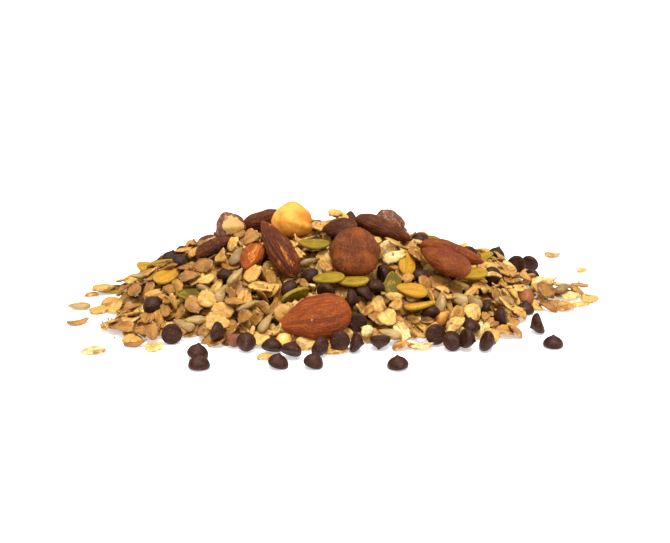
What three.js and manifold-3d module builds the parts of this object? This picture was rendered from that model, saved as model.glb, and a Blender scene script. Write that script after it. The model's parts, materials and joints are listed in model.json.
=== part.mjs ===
// A heap of granola poured on a table: toasted oat flakes, seeds and chocolate drops in one
// interlocked mound, with whole almonds and hazelnuts lying in it and a few strays round its edge.
// Millimetres, +Z up, X to the right and Y to the back. The origin is on the table.
import * as THREE from "three";
import { mergeVertices } from "three/addons/utils/BufferGeometryUtils.js";
import Module from "manifold-3d";

const wasm = await Module();
wasm.setup();

// ---------------------------------------------------------------- driving dimensions

const GAP = 0.35; // clearance between a nut or a stray and the heap
const ORIGIN = { x: 1.6, y: -5.1 }; // middle of everything that lies on the table

// The heap is one high mound with low lobes that spread from its foot. Each has a rounded
// rectangle as its footprint. Its fall is the power by which it drops from crest to edge.
const MOUND = {
  x: -6, y: 0, left: 78, right: 84, front: 52, back: 52,
  height: 25.8, fallLeft: 2, fallRight: 1.6, fallDepth: 1.45, corner: 2.15,
};
const FOOT = { height: 5, fallLeft: 1.6, fallRight: 1.6, fallDepth: 1.6, corner: 2.2 };
const LOBES = [
  MOUND,
  { ...FOOT, x: -66, y: -34, left: 17, right: 20, front: 16, back: 16 },
  { ...FOOT, x: -72, y: -10, left: 14, right: 16, front: 20, back: 20 },
  { ...FOOT, x: -30, y: -44, left: 22, right: 22, front: 10, back: 12 },
  { ...FOOT, x: 45, y: -38, left: 20, right: 18, front: 14, back: 14, height: 6 },
  { ...FOOT, x: 80, y: -4, left: 22, right: 17, front: 11, back: 14 },
  { ...FOOT, x: 66, y: 24, left: 20, right: 15, front: 18, back: 15 },
];
const CORE = { sides: 48, rings: 9, inset: 4.6, lip: 0.9 };
const RIPPLE = { size: 0.8, counts: [11, 17], shift: 2 }; // waves of the core's outline, in mm and per turn
const LUMP = { size: 0.35, fast: [0.83, 0.31], cross: [-0.22, 0.71], slow: [0.37, -0.55], full: 6 };

const FLAKE = {
  length: [7.2, 10], width: [5, 6.8], dome: 0.35, root: 2.6, sides: 6,
  tilt: [-26, 26], lift: [0.7, 1.5], room: 6.9, flatBelow: 4,
};
const FLAKE_FIELD = { x: 105, y: 60, tries: 5000, seed: 11 };
const PEPITA = { length: 12.2, width: 7, thick: 2.5, sides: 8, lift: 1, room: 5 };
const KERNEL = { length: 8.4, width: 4.4, thick: 2.6, sides: 6, lift: 0.8, room: 4.2 };
const SEED_POINT = 0.26; // how far the pointed end of a seed is drawn in
const CHIP = { radius: 3.5, height: 4.8, lift: 1.6, room: 5.2 };
// point, nose: how a nut is drawn in. first, spare: its first ring, and the rings' share of its ends.
const ALMOND = { rings: 6, sides: 10, point: 0.24, nose: 0.2, first: 0.75, spare: 0.5 };
const HAZELNUT = { rings: 5, sides: 10, point: 0.2, nose: 0.14, base: 0.47, first: 0.8, spare: 0.6 };
const REACH_STEP = 0.25; // steps in which the edge of the heap is found
const SLIVER = 0.06; // detail finer than this is merged away where fused pieces cross
const WELD = 1e-4; // points closer than this are one point

// ---------------------------------------------------------------- what lies where

// Nuts. at: the middle. turn: heading of the pointed end from +X, its rise above level, and the
// roll about the long axis, in degrees. point: how pointed it is, where it isn't as usual.
const ALMONDS = [
  { name: "almond_front", size: [24.5, 15.2, 8.4], at: [-6.5, -45, 9], turn: [190, -9, -54] },
  { name: "almond_standing", size: [24.5, 12, 8.8], at: [-19.6, -19, 24.8], turn: [130, 38, -104] },
  { name: "almond_round", size: [18.6, 17.8, 10], at: [7, -20, 24], turn: [88, 50, 4], point: 0.04 },
  { name: "almond_right", size: [20, 12.2, 7.8], at: [38.9, -18, 20], turn: [146, 15, 0] },
  { name: "almond_right_back", size: [24, 13, 7.8], at: [42.4, -5.5, 18.7], turn: [-8, -14, -30] },
  { name: "almond_crest_right", size: [22.5, 13.2, 7.2], at: [18, 0.6, 26.2], turn: [-12, -19, -16] },
  { name: "almond_crest_left", size: [19, 11.6, 7.4], at: [-26, 10.2, 26.4], turn: [14, 16, -40] },
  { name: "almond_left", size: [14.5, 9.4, 6], at: [-43.6, -8.2, 22.3], turn: [24, 20, -20] },
  { name: "almond_end_on", size: [13, 9.2, 6.6], at: [-29.4, -17, 21], turn: [-112, -24, 12] },
  { name: "almond_dark", size: [13, 9.8, 6.2], at: [1.8, -6, 28.2], turn: [168, -4, -20] },
  { name: "almond_tilted_back", size: [12, 7.4, 5.2], at: [5.4, 4.8, 26], turn: [82, 50, 20] },
  { name: "almond_back_slope", size: [24, 13.2, 7.8], at: [-16, 27, 17.2], turn: [35, -12, 34] },
  { name: "almond_back_right", size: [23, 13, 8], at: [18, 36.5, 11.4], turn: [200, -8, 36] },
  { name: "almond_back_left", size: [23.5, 12.8, 7.6], at: [-47, 24, 12.6], turn: [100, -18, 10] },
];
const HAZELNUTS = [
  { name: "hazelnut_blanched", size: [15, 14.4, 13], at: [-15.7, -1, 30.4], turn: [40, 8] },
  { name: "hazelnut_left", size: [11.2, 11, 11.6], at: [-38.6, 2.5, 26.4], turn: [150, 30] },
  { name: "hazelnut_right", size: [12, 11.8, 12.4], at: [19.8, 12.4, 24.4], turn: [20, -24] },
  { name: "hazelnut_back", size: [13, 12.6, 13], at: [1.4, 32.6, 14.6], turn: [60, 40] },
  { name: "hazelnut_back_left", size: [12, 11.6, 12], at: [-33, 34, 12.6], turn: [10, 70] },
];

// Strays on the bare table, each a piece of its own. turn: heading of the tip and, for a drop,
// how far it leans that way from upright, or for a flat piece its tilt.
const STRAY_CHIPS = [
  { name: "chip_front_middle", at: [20, -66.5], turn: [150, 6] },
  { name: "chip_front_right", at: [73, -48.5], turn: [60, 3] },
  { name: "chip_side_right", at: [69, -36], turn: [176, 112] },
  { name: "chip_edge_right", at: [68, -17], turn: [90, 4] },
  { name: "chip_pair_left_a", at: [-43.5, -66.5], turn: [60, 5] },
  { name: "chip_pair_left_b", at: [-44.5, -58.6], turn: [10, 14] },
  { name: "chip_pair_middle_a", at: [-17.8, -66], turn: [-10, 16] },
  { name: "chip_pair_middle_b", at: [-14, -58], turn: [70, 40] },
  { name: "chip_pair_front_a", at: [-6.5, -66], turn: [-10, 18] },
  { name: "chip_pair_front_b", at: [-4, -57.5], turn: [-40, 104] },
];
const STRAY_FLAKES = [
  { name: "flake_left_front", size: [8.8, 6.4, 1.5], at: [-80, -53.5], turn: [12, 3] },
  { name: "flake_left_long", size: [9, 3.8, 1.8], at: [-90, -28], turn: [28, 2] },
  { name: "flake_left_small", size: [5.6, 3, 1.4], at: [-90.4, 0.6], turn: [4, 2] },
  { name: "flake_right_back", size: [7, 5, 1.3], at: [88.6, 47.5], turn: [-14, 2] },
  { name: "flake_right_small", size: [4.8, 4, 1.2], at: [97, 28.5], turn: [10, 2] },
  { name: "flake_back_a", size: [8, 6, 1.5], at: [60.5, 54], turn: [-30, 3] },
  { name: "flake_back_b", size: [8.4, 5.4, 1.5], at: [51, 57], turn: [20, 3] },
  { name: "flake_under_pair", size: [7.4, 3.8, 1.2], at: [-22, -59.4], turn: [-4, 2] },
];
const STRAY_SEEDS = [
  { name: "pepita_left", shape: PEPITA, at: [-84, 4.8], turn: [186, 4] },
  { name: "kernel_left", shape: KERNEL, at: [-92.5, -13], turn: [184, 2] },
];

// Drops in the heap: x, y, heading of the tip, lean from upright, and how deep it sits.
const HEAP_CHIPS = [
  [-29.5, -54, -96, 76, 0.2], [-20.5, -54.5, 80, 34, 0], [-38.5, -48, -14, 100, 0.6],
  [-55, -45, 100, 98, 0.8], [0.5, -45.2, 200, 60, 0], [1.5, -51.5, 84, 104, 0],
  [7.6, -53, 4, 108, 0], [15, -51.2, -90, 164, 0.4], [33.4, -46.5, 100, 102, 0.4],
  [39.5, -52.4, -60, 60, 0], [44.6, -51.2, 20, 108, 0], [51.2, -51.8, 4, 112, 0.2],
  [45.6, -42.6, 80, 12, 0.6], [56.4, -34, 172, 104, 0.4], [51.2, -28.5, 170, 62, 1.2],
  [6.4, -35.4, 0, 100, 0.8], [10.6, -31.4, 30, 40, 1.4], [-55.5, -3, 10, 30, 1.6],
  [-61.5, 9, 60, 30, 1], [-12, -24.5, 40, 96, 0.4], [-16.8, -31, 214, 98, 0.6],
  [-6.6, -8.6, 100, 14, 1.2], [13.8, -29.2, 90, 30, 2], [14.6, -21, 20, 80, 1.4],
  [31.8, -20.4, 10, 40, 1.2], [-2.4, -31.6, 60, 70, 1.8], [60.4, 30.5, 190, 60, 0.4],
  [63.4, 35, 6, 104, 0.4], [70.2, 22.5, 80, 96, 0.8], [77, 29.6, 60, 70, 0.4],
  [75.6, 11.5, 40, 80, 0.6], [-37.6, -22.4, 60, 50, 1.8], [-57.8, 11.8, 120, 60, 0.8],
  [32.6, -36.6, 90, 40, 1.4], [6.2, -40.8, 90, 90, 0.2], [-71.5, -12, 90, 20, 1.2],
  [-20, 38, 60, 70, 0.6], [12, 44, 120, 100, 0.6], [38, 36, 30, 60, 0.8],
  [-52, 36, 200, 80, 0.6], [-6, 14, 300, 50, 1.2], [50, 10, 80, 100, 0.8],
  [-64, -28, 260, 70, 0.6], [30, 8, 200, 60, 1.2], [-34, 12, 20, 90, 1],
  [-8, 49, 100, 100, 0.2], [58, -6, 300, 80, 1],
];
// Pumpkin seeds and sunflower kernels in the heap: x, y, heading of the tip, rise, roll.
const HEAP_PEPITAS = [
  [-49.5, -28.5, 178, 4, -48], [17.2, -26.5, 92, 34, 6], [-13.4, -34.5, 30, 14, -66],
  [4, -27.5, 172, -4, -44], [0.5, -25, 176, -6, -76], [-7.4, -13.5, 178, 2, -70],
  [-39, -9, 76, 40, -20], [48, -12.5, 182, -6, -34], [-66.5, 13, 170, 10, -30],
  [-63, 6, 8, 4, -40], [26.5, -30.5, 168, 8, -36], [29, -37.5, 12, 6, -40],
  [25.5, -17, 84, 30, 30], [21.5, -16, 96, 34, -20], [56, 22, 20, 10, 10],
  [-40, 40, 140, 0, 30], [6, 20, 250, -12, 40], [-60, -14, 40, 8, 20], [36, 18, 330, 10, 30],
];
const HEAP_KERNELS = [
  [-34.5, -24.8, 52, 26, -30], [-44.6, -28, 330, -14, -34], [-40, -26, 70, 34, 20],
  [-33, -17.6, 60, 34, 10], [-9, -19.4, 24, 10, -34], [-12.4, -32.4, 50, 20, -30],
  [43, -27.5, 150, 10, -44], [43.6, -33.6, 60, 30, -30], [47, -30.4, 120, 20, -30],
  [33, -36.4, 80, 40, -20], [20.2, -45, 160, 8, -20], [-51.5, -39.4, 150, 10, -20],
  [-47.5, -38, 200, 6, -10], [-23.5, -43.6, 60, 30, -20], [84, -2, 30, 10, -10],
  [-30, -36, 20, 16, -20], [60, -20, 200, 10, -40], [-70, -2, 200, 6, 0],
];

// ---------------------------------------------------------------- numbers and heights

const degrees = THREE.MathUtils.degToRad;

// A seeded source of even random numbers from 0 to 1.
function seeded(seed) {
  let state = seed;
  return () => {
    state = (state + 0x6d2b79f5) | 0;
    let t = Math.imul(state ^ (state >>> 15), 1 | state);
    t = (t + Math.imul(t ^ (t >>> 7), 61 | t)) ^ t;
    return ((t ^ (t >>> 14)) >>> 0) / 4294967296;
  };
}

const between = (random, [low, high]) => low + (high - low) * random();

// A lobe's height at a point, nothing past its edge.
function lobeHeight(lobe, x, y) {
  const dx = (x - lobe.x) / (x < lobe.x ? lobe.left : lobe.right);
  const dy = (y - lobe.y) / (y < lobe.y ? lobe.front : lobe.back);
  const out = (Math.abs(dx) ** lobe.corner + Math.abs(dy) ** lobe.corner) ** (1 / lobe.corner);
  const depthShare = (dy * dy) / (dx * dx + dy * dy + 1e-9);
  const side = x < lobe.x ? lobe.fallLeft : lobe.fallRight;
  const fall = side * (1 - depthShare) + lobe.fallDepth * depthShare;
  return lobe.height * (1 - Math.min(1, out) ** fall);
}

// The height of the heap's core, the lobes blended where they meet.
function heapHeight(x, y) {
  const cubes = LOBES.map((lobe) => lobeHeight(lobe, x, y) ** 3);
  return Math.cbrt(cubes.reduce((sum, cube) => sum + cube, 0));
}

// How far the heap reaches from the mound's middle in a direction, in radians.
function heapReach(angle) {
  const [x, y] = [Math.cos(angle), Math.sin(angle)];
  let reach = FLAKE_FIELD.x;
  while (heapHeight(MOUND.x + reach * x, MOUND.y + reach * y) === 0) reach -= REACH_STEP;
  return reach;
}

// The core's gentle unevenness, about as long as a flake, dying out where the heap is low.
function lumps(x, y, height) {
  const phase = ([alongX, alongY]) => alongX * x + alongY * y;
  const wave = Math.sin(phase(LUMP.fast)) * Math.cos(phase(LUMP.cross));
  const both = wave + Math.sin(phase(LUMP.slow)) / 2;
  return LUMP.size * both * Math.min(1, height / LUMP.full);
}

// ---------------------------------------------------------------- shapes

// A closed skin over rings of points, from a first pole to a last one.
function skin(rings, firstPole, lastPole) {
  const sides = rings[0].length;
  const points = [firstPole, ...rings.flat(), lastPole];
  const last = points.length - 1;
  const index = [];
  for (let s = 0; s < sides; s++) {
    const next = (s + 1) % sides;
    index.push(0, 1 + next, 1 + s);
    for (let r = 0; r + 1 < rings.length; r++) {
      const low = 1 + r * sides;
      const high = low + sides;
      index.push(low + s, low + next, high + next, low + s, high + next, high + s);
    }
    const top = 1 + (rings.length - 1) * sides;
    index.push(last, top + s, top + next);
  }
  const geometry = new THREE.BufferGeometry();
  geometry.setAttribute("position", new THREE.Float32BufferAttribute(points.flat(), 3));
  geometry.setIndex(index);
  return geometry;
}

// Rings of an oval section along X: each station is [x, half width, half thickness].
function ovalBody(stations, sides, length) {
  const rings = stations.map(([x, wide, thick]) =>
    Array.from({ length: sides }, (_, s) => {
      const angle = (2 * Math.PI * s) / sides;
      return [x, wide * Math.cos(angle), thick * Math.sin(angle)];
    }),
  );
  return skin(rings, [-length / 2, 0, 0], [length / 2, 0, 0]);
}

// An almond: blunt at -X, pointed at +X, flatter than it is wide.
function almondShape([length, width, thick], point = ALMOND.point) {
  const stations = Array.from({ length: ALMOND.rings }, (_, r) => {
    const turn = (Math.PI * (r + ALMOND.first)) / (ALMOND.rings + ALMOND.spare);
    const along = -Math.cos(turn); // -1 blunt, 1 pointed
    const nose = (point / ALMOND.point) * ALMOND.nose * Math.max(0, along) ** 2;
    const share = Math.sqrt(1 - along * along) * (1 - point * along - nose);
    return [(along * length) / 2, (share * width) / 2, (share * thick) / 2];
  });
  return ovalBody(stations, ALMOND.sides, length);
}

// A hazelnut kernel, its point up along +Z: full low down, drawn in to the point.
function hazelnutShape([length, width, height]) {
  const levels = Array.from({ length: HAZELNUT.rings }, (_, r) => {
    const turn = (Math.PI * (r + HAZELNUT.first)) / (HAZELNUT.rings + HAZELNUT.spare);
    const up = -Math.cos(turn); // -1 base, 1 point
    const drawnIn = HAZELNUT.point * up + HAZELNUT.nose * Math.max(0, up) ** 3;
    const share = Math.sqrt(1 - up * up) * (1 - drawnIn);
    return Array.from({ length: HAZELNUT.sides }, (_, s) => {
      const angle = (2 * Math.PI * s) / HAZELNUT.sides;
      const [x, y] = [Math.cos(angle), Math.sin(angle)];
      return [(share * length * x) / 2, (share * width * y) / 2, (up * height) / 2];
    });
  });
  return skin(levels, [0, 0, -HAZELNUT.base * height], [0, 0, height / 2]);
}

// A chocolate drop standing on its flat base, as turned: a rounded foot drawn up to a small tip.
// Its profile is given in shares of its radius and height.
const CHIP_FINE = {
  sides: 8, profile: [[0.86, 0], [1, 0.12], [0.97, 0.3], [0.76, 0.52], [0.44, 0.72]],
};
const CHIP_COARSE = { sides: 6, profile: [[1, 0.12], [0.76, 0.52]] };
function chipShape({ sides, profile }) {
  const rings = profile.map(([out, up]) => {
    return Array.from({ length: sides }, (_, s) => {
      const angle = (2 * Math.PI * s) / sides;
      const radius = out * CHIP.radius;
      return [radius * Math.cos(angle), radius * Math.sin(angle), up * CHIP.height];
    });
  });
  return skin(rings, [0, 0, 0], [0, 0, CHIP.height]).translate(0, 0, -CHIP.height / 2);
}

// A flake of the heap: a flat oval top with a slight dome, curled up at both ends, over a root
// that tapers down into the core.
function flakeShape(length, width, curl) {
  const outline = Array.from({ length: FLAKE.sides }, (_, s) => {
    const angle = (2 * Math.PI * (s + 0.5)) / FLAKE.sides;
    const along = Math.cos(angle);
    return [(along * length) / 2, (Math.sin(angle) * width) / 2, curl * along * along];
  });
  return skin([outline], [0, 0, -FLAKE.root], [0, 0, FLAKE.dome]);
}

// A lens with a drawn-in +X end: a seed, half sunk in the heap.
function lensShape({ length, width, thick, sides }) {
  const outline = Array.from({ length: sides }, (_, s) => {
    const angle = (2 * Math.PI * (s + 0.5)) / sides;
    const along = Math.cos(angle);
    const across = Math.sin(angle) * (1 - SEED_POINT * along);
    return [(along * length) / 2, (across * width) / 2, 0];
  });
  return skin([outline], [0, 0, -thick / 2], [0, 0, thick / 2]);
}

const PLUMP_RIM = [[-0.5, 0.62], [-0.1, 1], [0.15, 0.98]]; // level and share of the outline
// A plump flat piece with an upright edge and a domed top, its +X end drawn in by point.
function plumpShape([length, width, thick], sides, point = 0) {
  const ring = (level, share) =>
    Array.from({ length: sides }, (_, s) => {
      const angle = (2 * Math.PI * (s + 0.5)) / sides;
      const along = Math.cos(angle);
      const across = Math.sin(angle) * (1 - point * along);
      return [(share * along * length) / 2, (share * across * width) / 2, level];
    });
  const rings = PLUMP_RIM.map(([level, share]) => ring(level * thick, share));
  return skin(rings, [0, 0, -thick / 2], [0, 0, thick / 2]);
}

function seedShape({ length, width, thick, sides }) {
  return plumpShape([length, width, thick], sides, SEED_POINT);
}

// The core: rings of the heap's footprint, with a lip at its edge and a flat underside.
function coreShape() {
  const angles = Array.from({ length: CORE.sides }, (_, s) => (2 * Math.PI * s) / CORE.sides);
  const spokes = angles.map((angle) => {
    const [first, second] = RIPPLE.counts;
    const ripple = RIPPLE.size * (Math.sin(first * angle) + Math.sin(second * angle + RIPPLE.shift));
    return { angle, reach: heapReach(angle) - CORE.inset + ripple };
  });
  const ringAt = (share, heightAt) =>
    spokes.map(({ angle, reach }) => {
      const x = MOUND.x + share * reach * Math.cos(angle);
      const y = MOUND.y + share * reach * Math.sin(angle);
      return [x, y, heightAt(x, y)];
    });
  const surface = (x, y) => {
    const height = heapHeight(x, y);
    return Math.max(CORE.lip, height + lumps(x, y, height));
  };
  const rings = [ringAt(1, () => 0), ringAt(1, () => CORE.lip)];
  for (let r = 1; r < CORE.rings; r++) rings.push(ringAt(1 - r / CORE.rings, surface));
  return skin(rings, [MOUND.x, MOUND.y, 0], [MOUND.x, MOUND.y, surface(MOUND.x, MOUND.y)]);
}

// ---------------------------------------------------------------- placing

// Heading about +Z, then rise of the +X end, then roll about the long axis.
function turned(heading, rise, roll) {
  const euler = new THREE.Euler(degrees(roll), -degrees(rise), degrees(heading), "ZYX");
  return new THREE.Matrix4().makeRotationFromEuler(euler);
}

// An upright piece leaned from upright towards a heading.
function leaned(heading, lean) {
  const axis = new THREE.Vector3(-Math.sin(degrees(heading)), Math.cos(degrees(heading)), 0);
  return new THREE.Matrix4().makeRotationAxis(axis, degrees(lean));
}

const moved = (geometry, x, y, z) => geometry.translate(x, y, z);

// Puts a turned piece on the bare table: its lowest point touches.
function onTable(geometry, x, y) {
  geometry.computeBoundingBox();
  return moved(geometry, x, y, -geometry.boundingBox.min.z);
}

// The heap's slope at a point, as the matrix that turns +Z to the surface's normal.
function slopeAt(x, y) {
  const step = 2;
  const fallX = (heapHeight(x + step, y) - heapHeight(x - step, y)) / (2 * step);
  const fallY = (heapHeight(x, y + step) - heapHeight(x, y - step)) / (2 * step);
  const normal = new THREE.Vector3(-fallX, -fallY, 1).normalize();
  const turn = new THREE.Quaternion().setFromUnitVectors(new THREE.Vector3(0, 0, 1), normal);
  return new THREE.Matrix4().makeRotationFromQuaternion(turn);
}

// ---------------------------------------------------------------- solids

function solidOf(geometry) {
  const bare = new THREE.BufferGeometry();
  bare.setAttribute("position", geometry.getAttribute("position"));
  bare.setIndex(geometry.index);
  const merged = mergeVertices(bare, WELD);
  const vertProperties = new Float32Array(merged.attributes.position.array);
  const triVerts = new Uint32Array(merged.index.array);
  return new wasm.Manifold(new wasm.Mesh({ numProp: 3, vertProperties, triVerts }));
}

function geometryOf(solid) {
  const mesh = solid.getMesh();
  const geometry = new THREE.BufferGeometry();
  const stride = mesh.numProp;
  const points = new Float32Array(mesh.numVert * 3);
  for (let i = 0; i < mesh.numVert; i++) {
    points.set(mesh.vertProperties.subarray(i * stride, i * stride + 3), 3 * i);
  }
  geometry.setAttribute("position", new THREE.BufferAttribute(points, 3));
  geometry.setIndex(new THREE.BufferAttribute(mesh.triVerts, 1));
  geometry.computeVertexNormals();
  return geometry;
}

// A nut or stray grown by the gap on every side, for the socket it sits in.
function grown(geometry, turn, place) {
  geometry.computeBoundingBox();
  const size = geometry.boundingBox.getSize(new THREE.Vector3());
  const scale = size.clone().addScalar(2 * GAP).divide(size);
  const copy = geometry.clone().scale(scale.x, scale.y, scale.z);
  return solidOf(copy.applyMatrix4(turn).translate(...place));
}

// ---------------------------------------------------------------- the pieces

function material(color, roughness) {
  return new THREE.MeshStandardMaterial({ color, roughness, metalness: 0 });
}
const LOOKS = {
  heap: material("#b98a48", 0.8),
  almond: material("#8a4a2b", 0.55),
  hazelnut: material("#c98a4c", 0.6),
  chip: material("#3b2a2a", 0.45),
  flake: material("#d9ab66", 0.8),
  seed: material("#8d8a45", 0.6),
};

const heapFrame = new THREE.Group(); // the heap's own coordinates, its middle on the mound's
const granola = new THREE.Group();
heapFrame.position.set(-ORIGIN.x, -ORIGIN.y, 0);
granola.add(heapFrame);

function addMesh(name, geometry, look) {
  const mesh = new THREE.Mesh(geometry, look);
  mesh.name = name;
  heapFrame.add(mesh);
  return mesh;
}

const sockets = []; // what the heap's pieces keep clear of

function addNut({ name, at }, shape, turn, look) {
  sockets.push(grown(shape, turn, at));
  addMesh(name, shape.clone().applyMatrix4(turn).translate(...at), look);
}

// Adds a stray that rests on the table.
function addStray({ name, at: [x, y] }, shape, turn, look) {
  const turnedShape = shape.clone().applyMatrix4(turn);
  turnedShape.computeBoundingBox();
  const place = [x, y, -turnedShape.boundingBox.min.z];
  sockets.push(grown(shape, turn, place));
  addMesh(name, onTable(turnedShape, x, y), look);
}

for (const nut of ALMONDS) {
  addNut(nut, almondShape(nut.size, nut.point), turned(...nut.turn), LOOKS.almond);
}
for (const nut of HAZELNUTS) {
  addNut(nut, hazelnutShape(nut.size), leaned(...nut.turn), LOOKS.hazelnut);
}
for (const chip of STRAY_CHIPS) {
  addStray(chip, chipShape(CHIP_FINE), leaned(...chip.turn), LOOKS.chip);
}
for (const flake of STRAY_FLAKES) {
  addStray(flake, plumpShape(flake.size, 8), turned(...flake.turn, 0), LOOKS.flake);
}
for (const seed of STRAY_SEEDS) {
  addStray(seed, seedShape(seed.shape), turned(...seed.turn, 0), LOOKS.seed);
}

// ---------------------------------------------------------------- the heap

// The pieces that show, to be fused to the core: drops, seeds and kernels where they lie, and oat
// flakes spread evenly between them. What would cross a nut or a stray is left out.
function heapPieces(keepClear) {
  const pieces = [];
  const taken = []; // middles of what is placed and the room round each
  const place = (geometry, x, y, z, room) => {
    const solid = solidOf(moved(geometry, x, y, z));
    if (!solid.intersect(keepClear).isEmpty()) return;
    pieces.push(solid);
    taken.push([x, y, room]);
  };
  const lay = (geometry, x, y, lift, room) => {
    geometry.computeBoundingBox();
    place(geometry, x, y, Math.max(heapHeight(x, y) + lift, -geometry.boundingBox.min.z), room);
  };
  for (const [x, y, heading, lean, sunk] of HEAP_CHIPS) {
    const chip = chipShape(CHIP_COARSE).applyMatrix4(leaned(heading, lean));
    lay(chip, x, y, CHIP.lift - sunk, CHIP.room);
  }
  for (const [x, y, ...turn] of HEAP_PEPITAS) {
    lay(lensShape(PEPITA).applyMatrix4(turned(...turn)), x, y, PEPITA.lift, PEPITA.room);
  }
  for (const [x, y, ...turn] of HEAP_KERNELS) {
    lay(lensShape(KERNEL).applyMatrix4(turned(...turn)), x, y, KERNEL.lift, KERNEL.room);
  }
  const random = seeded(FLAKE_FIELD.seed);
  for (let tries = 0; tries < FLAKE_FIELD.tries; tries++) {
    const x = MOUND.x + FLAKE_FIELD.x * (2 * random() - 1);
    const y = MOUND.y + FLAKE_FIELD.y * (2 * random() - 1);
    const height = heapHeight(x, y);
    if (height === 0 || taken.some(([a, b, room]) => Math.hypot(a - x, b - y) < room)) continue;
    const steep = Math.min(1, height / FLAKE.flatBelow);
    const shape = flakeShape(between(random, FLAKE.length), between(random, FLAKE.width), random());
    const tilt = steep * between(random, FLAKE.tilt);
    const roll = steep * between(random, FLAKE.tilt);
    shape.applyMatrix4(turned(360 * random(), tilt, roll)).applyMatrix4(slopeAt(x, y));
    place(shape, x, y, height + between(random, FLAKE.lift), FLAKE.room);
  }
  return pieces;
}

function heapSolid() {
  const keepClear = wasm.Manifold.union(sockets);
  const parts = [solidOf(coreShape()), ...heapPieces(keepClear)];
  const whole = wasm.Manifold.union(parts).subtract(keepClear).trimByPlane([0, 0, 1], 0);
  const bodies = whole.decompose().sort((a, b) => b.volume() - a.volume());
  return bodies[0].simplify(SLIVER);
}

addMesh("heap", geometryOf(heapSolid()), LOOKS.heap);

export default granola;
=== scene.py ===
# A heap of granola on a pale table. The nuts and the strays take their places from the packed
# model. Oat flakes, seeds and chocolate drops are dropped one by one on a grid of heights, each at
# rest on what lies under it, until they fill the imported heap's relief.

import json
import math

import bpy
import numpy as np
from mathutils import Matrix, Vector
from mathutils.bvhtree import BVHTree

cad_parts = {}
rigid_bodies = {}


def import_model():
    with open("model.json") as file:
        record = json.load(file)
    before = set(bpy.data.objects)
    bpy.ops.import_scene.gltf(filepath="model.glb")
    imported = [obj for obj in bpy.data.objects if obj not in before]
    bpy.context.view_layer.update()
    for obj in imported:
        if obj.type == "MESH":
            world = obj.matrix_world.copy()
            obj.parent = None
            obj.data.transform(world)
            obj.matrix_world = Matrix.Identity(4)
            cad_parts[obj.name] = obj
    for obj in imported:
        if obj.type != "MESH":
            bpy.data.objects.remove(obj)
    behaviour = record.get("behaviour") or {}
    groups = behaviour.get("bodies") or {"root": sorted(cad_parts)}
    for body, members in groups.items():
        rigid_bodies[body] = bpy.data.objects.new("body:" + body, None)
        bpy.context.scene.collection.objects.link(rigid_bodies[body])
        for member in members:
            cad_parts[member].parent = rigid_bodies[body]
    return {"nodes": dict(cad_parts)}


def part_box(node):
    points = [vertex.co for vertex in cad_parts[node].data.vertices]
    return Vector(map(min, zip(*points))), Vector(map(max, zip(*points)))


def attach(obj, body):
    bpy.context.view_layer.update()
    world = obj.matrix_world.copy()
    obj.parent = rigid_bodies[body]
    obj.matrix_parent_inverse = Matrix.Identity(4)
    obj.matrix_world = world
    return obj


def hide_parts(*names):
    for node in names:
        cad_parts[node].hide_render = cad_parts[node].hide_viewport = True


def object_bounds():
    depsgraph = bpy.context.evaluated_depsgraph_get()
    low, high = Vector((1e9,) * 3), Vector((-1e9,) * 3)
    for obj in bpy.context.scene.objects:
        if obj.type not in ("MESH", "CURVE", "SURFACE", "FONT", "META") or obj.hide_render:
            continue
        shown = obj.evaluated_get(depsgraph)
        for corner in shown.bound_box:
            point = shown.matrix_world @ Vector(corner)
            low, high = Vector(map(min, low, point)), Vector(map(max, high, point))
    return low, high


MM = 0.001  # the frame is in metres, and the sizes below are in millimetres

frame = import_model()
cad_low, cad_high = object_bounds()

# ------------------------------------------------------------------ sizes and places

CELL = 0.6  # mm, one cell of the grid of heights
MARGIN = 12  # mm of table round the model that the grid covers
FAR_UP = 1e3  # mm, the ceiling where no nut hangs over the bed

CLOSE, WIDE = 3.5, 10.5  # mm over which the relief is averaged in the open, and where nuts crowd
SLOPE_REACH = 7.0  # mm over which the slopes are averaged
LEAST_SHARE = 0.02  # the least share of known cells that an average is divided by
HEAP_FOOT = 0.2  # mm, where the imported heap's relief begins
UNDER_NUT = 1.0  # mm of mean relief from which the level goes on under a nut
THINNEST = 0.4  # mm, the level at the heap's edge
PIECE_RISE = -0.5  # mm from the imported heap's mean surface to the level that the pieces fill
TUFTS = [  # x, y, radius and height of the lumps in which flakes cling together
    (0.5, 3.0, 6.0, 4.6), (26, -8, 9.0, 1.6), (-37, -4, 7.0, 2.6), (-44, -12, 7.0, 1.5),
]

CORE_DEPTH = 4.4  # mm of loose pieces over the core
CORE_INSET = 4.0  # mm that the core keeps inside the heap's edge
CORE_SUNK = 0.3  # mm that the core's top keeps under the pieces that rest on it
CORE_STEP = 4  # cells of the grid to one face of the core
CORE_LEAST, CORE_EDGE = 0.3, 0.25  # mm of height where the core begins, and of its rim

# Shares of a flake's, a crumb's and a buried piece's surface that stay out of what they rest on.
FIRM, CRUMB_FIRM, BURIED_FIRM = 0.94, 0.8, 0.9
CLEAR = 0.08  # mm that a loose piece keeps off the table
ON_TABLE = 0.05  # mm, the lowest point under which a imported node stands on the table
PROUD, MOST_PROUD = 3.4, 0.15  # mm that a piece may stand above the level, and the share past that
TOUCH, MOST_TOUCH = 0.3, 0.08  # mm that it may reach into a nut from below, and the share past that
BARE = 2.4  # mm above the level from which a nut stays free of loose pieces
MOST_RAISED = 2.6  # mm that one buried piece may be raised by another under it
NUDGES = [  # how far aside, in mm, and which way a buried piece is moved to find room
    (aside, math.radians(way)) for aside in (0, 1.2, 2.4, 3.6, 4.8) for way in range(0, 360, 45)
]

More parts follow.
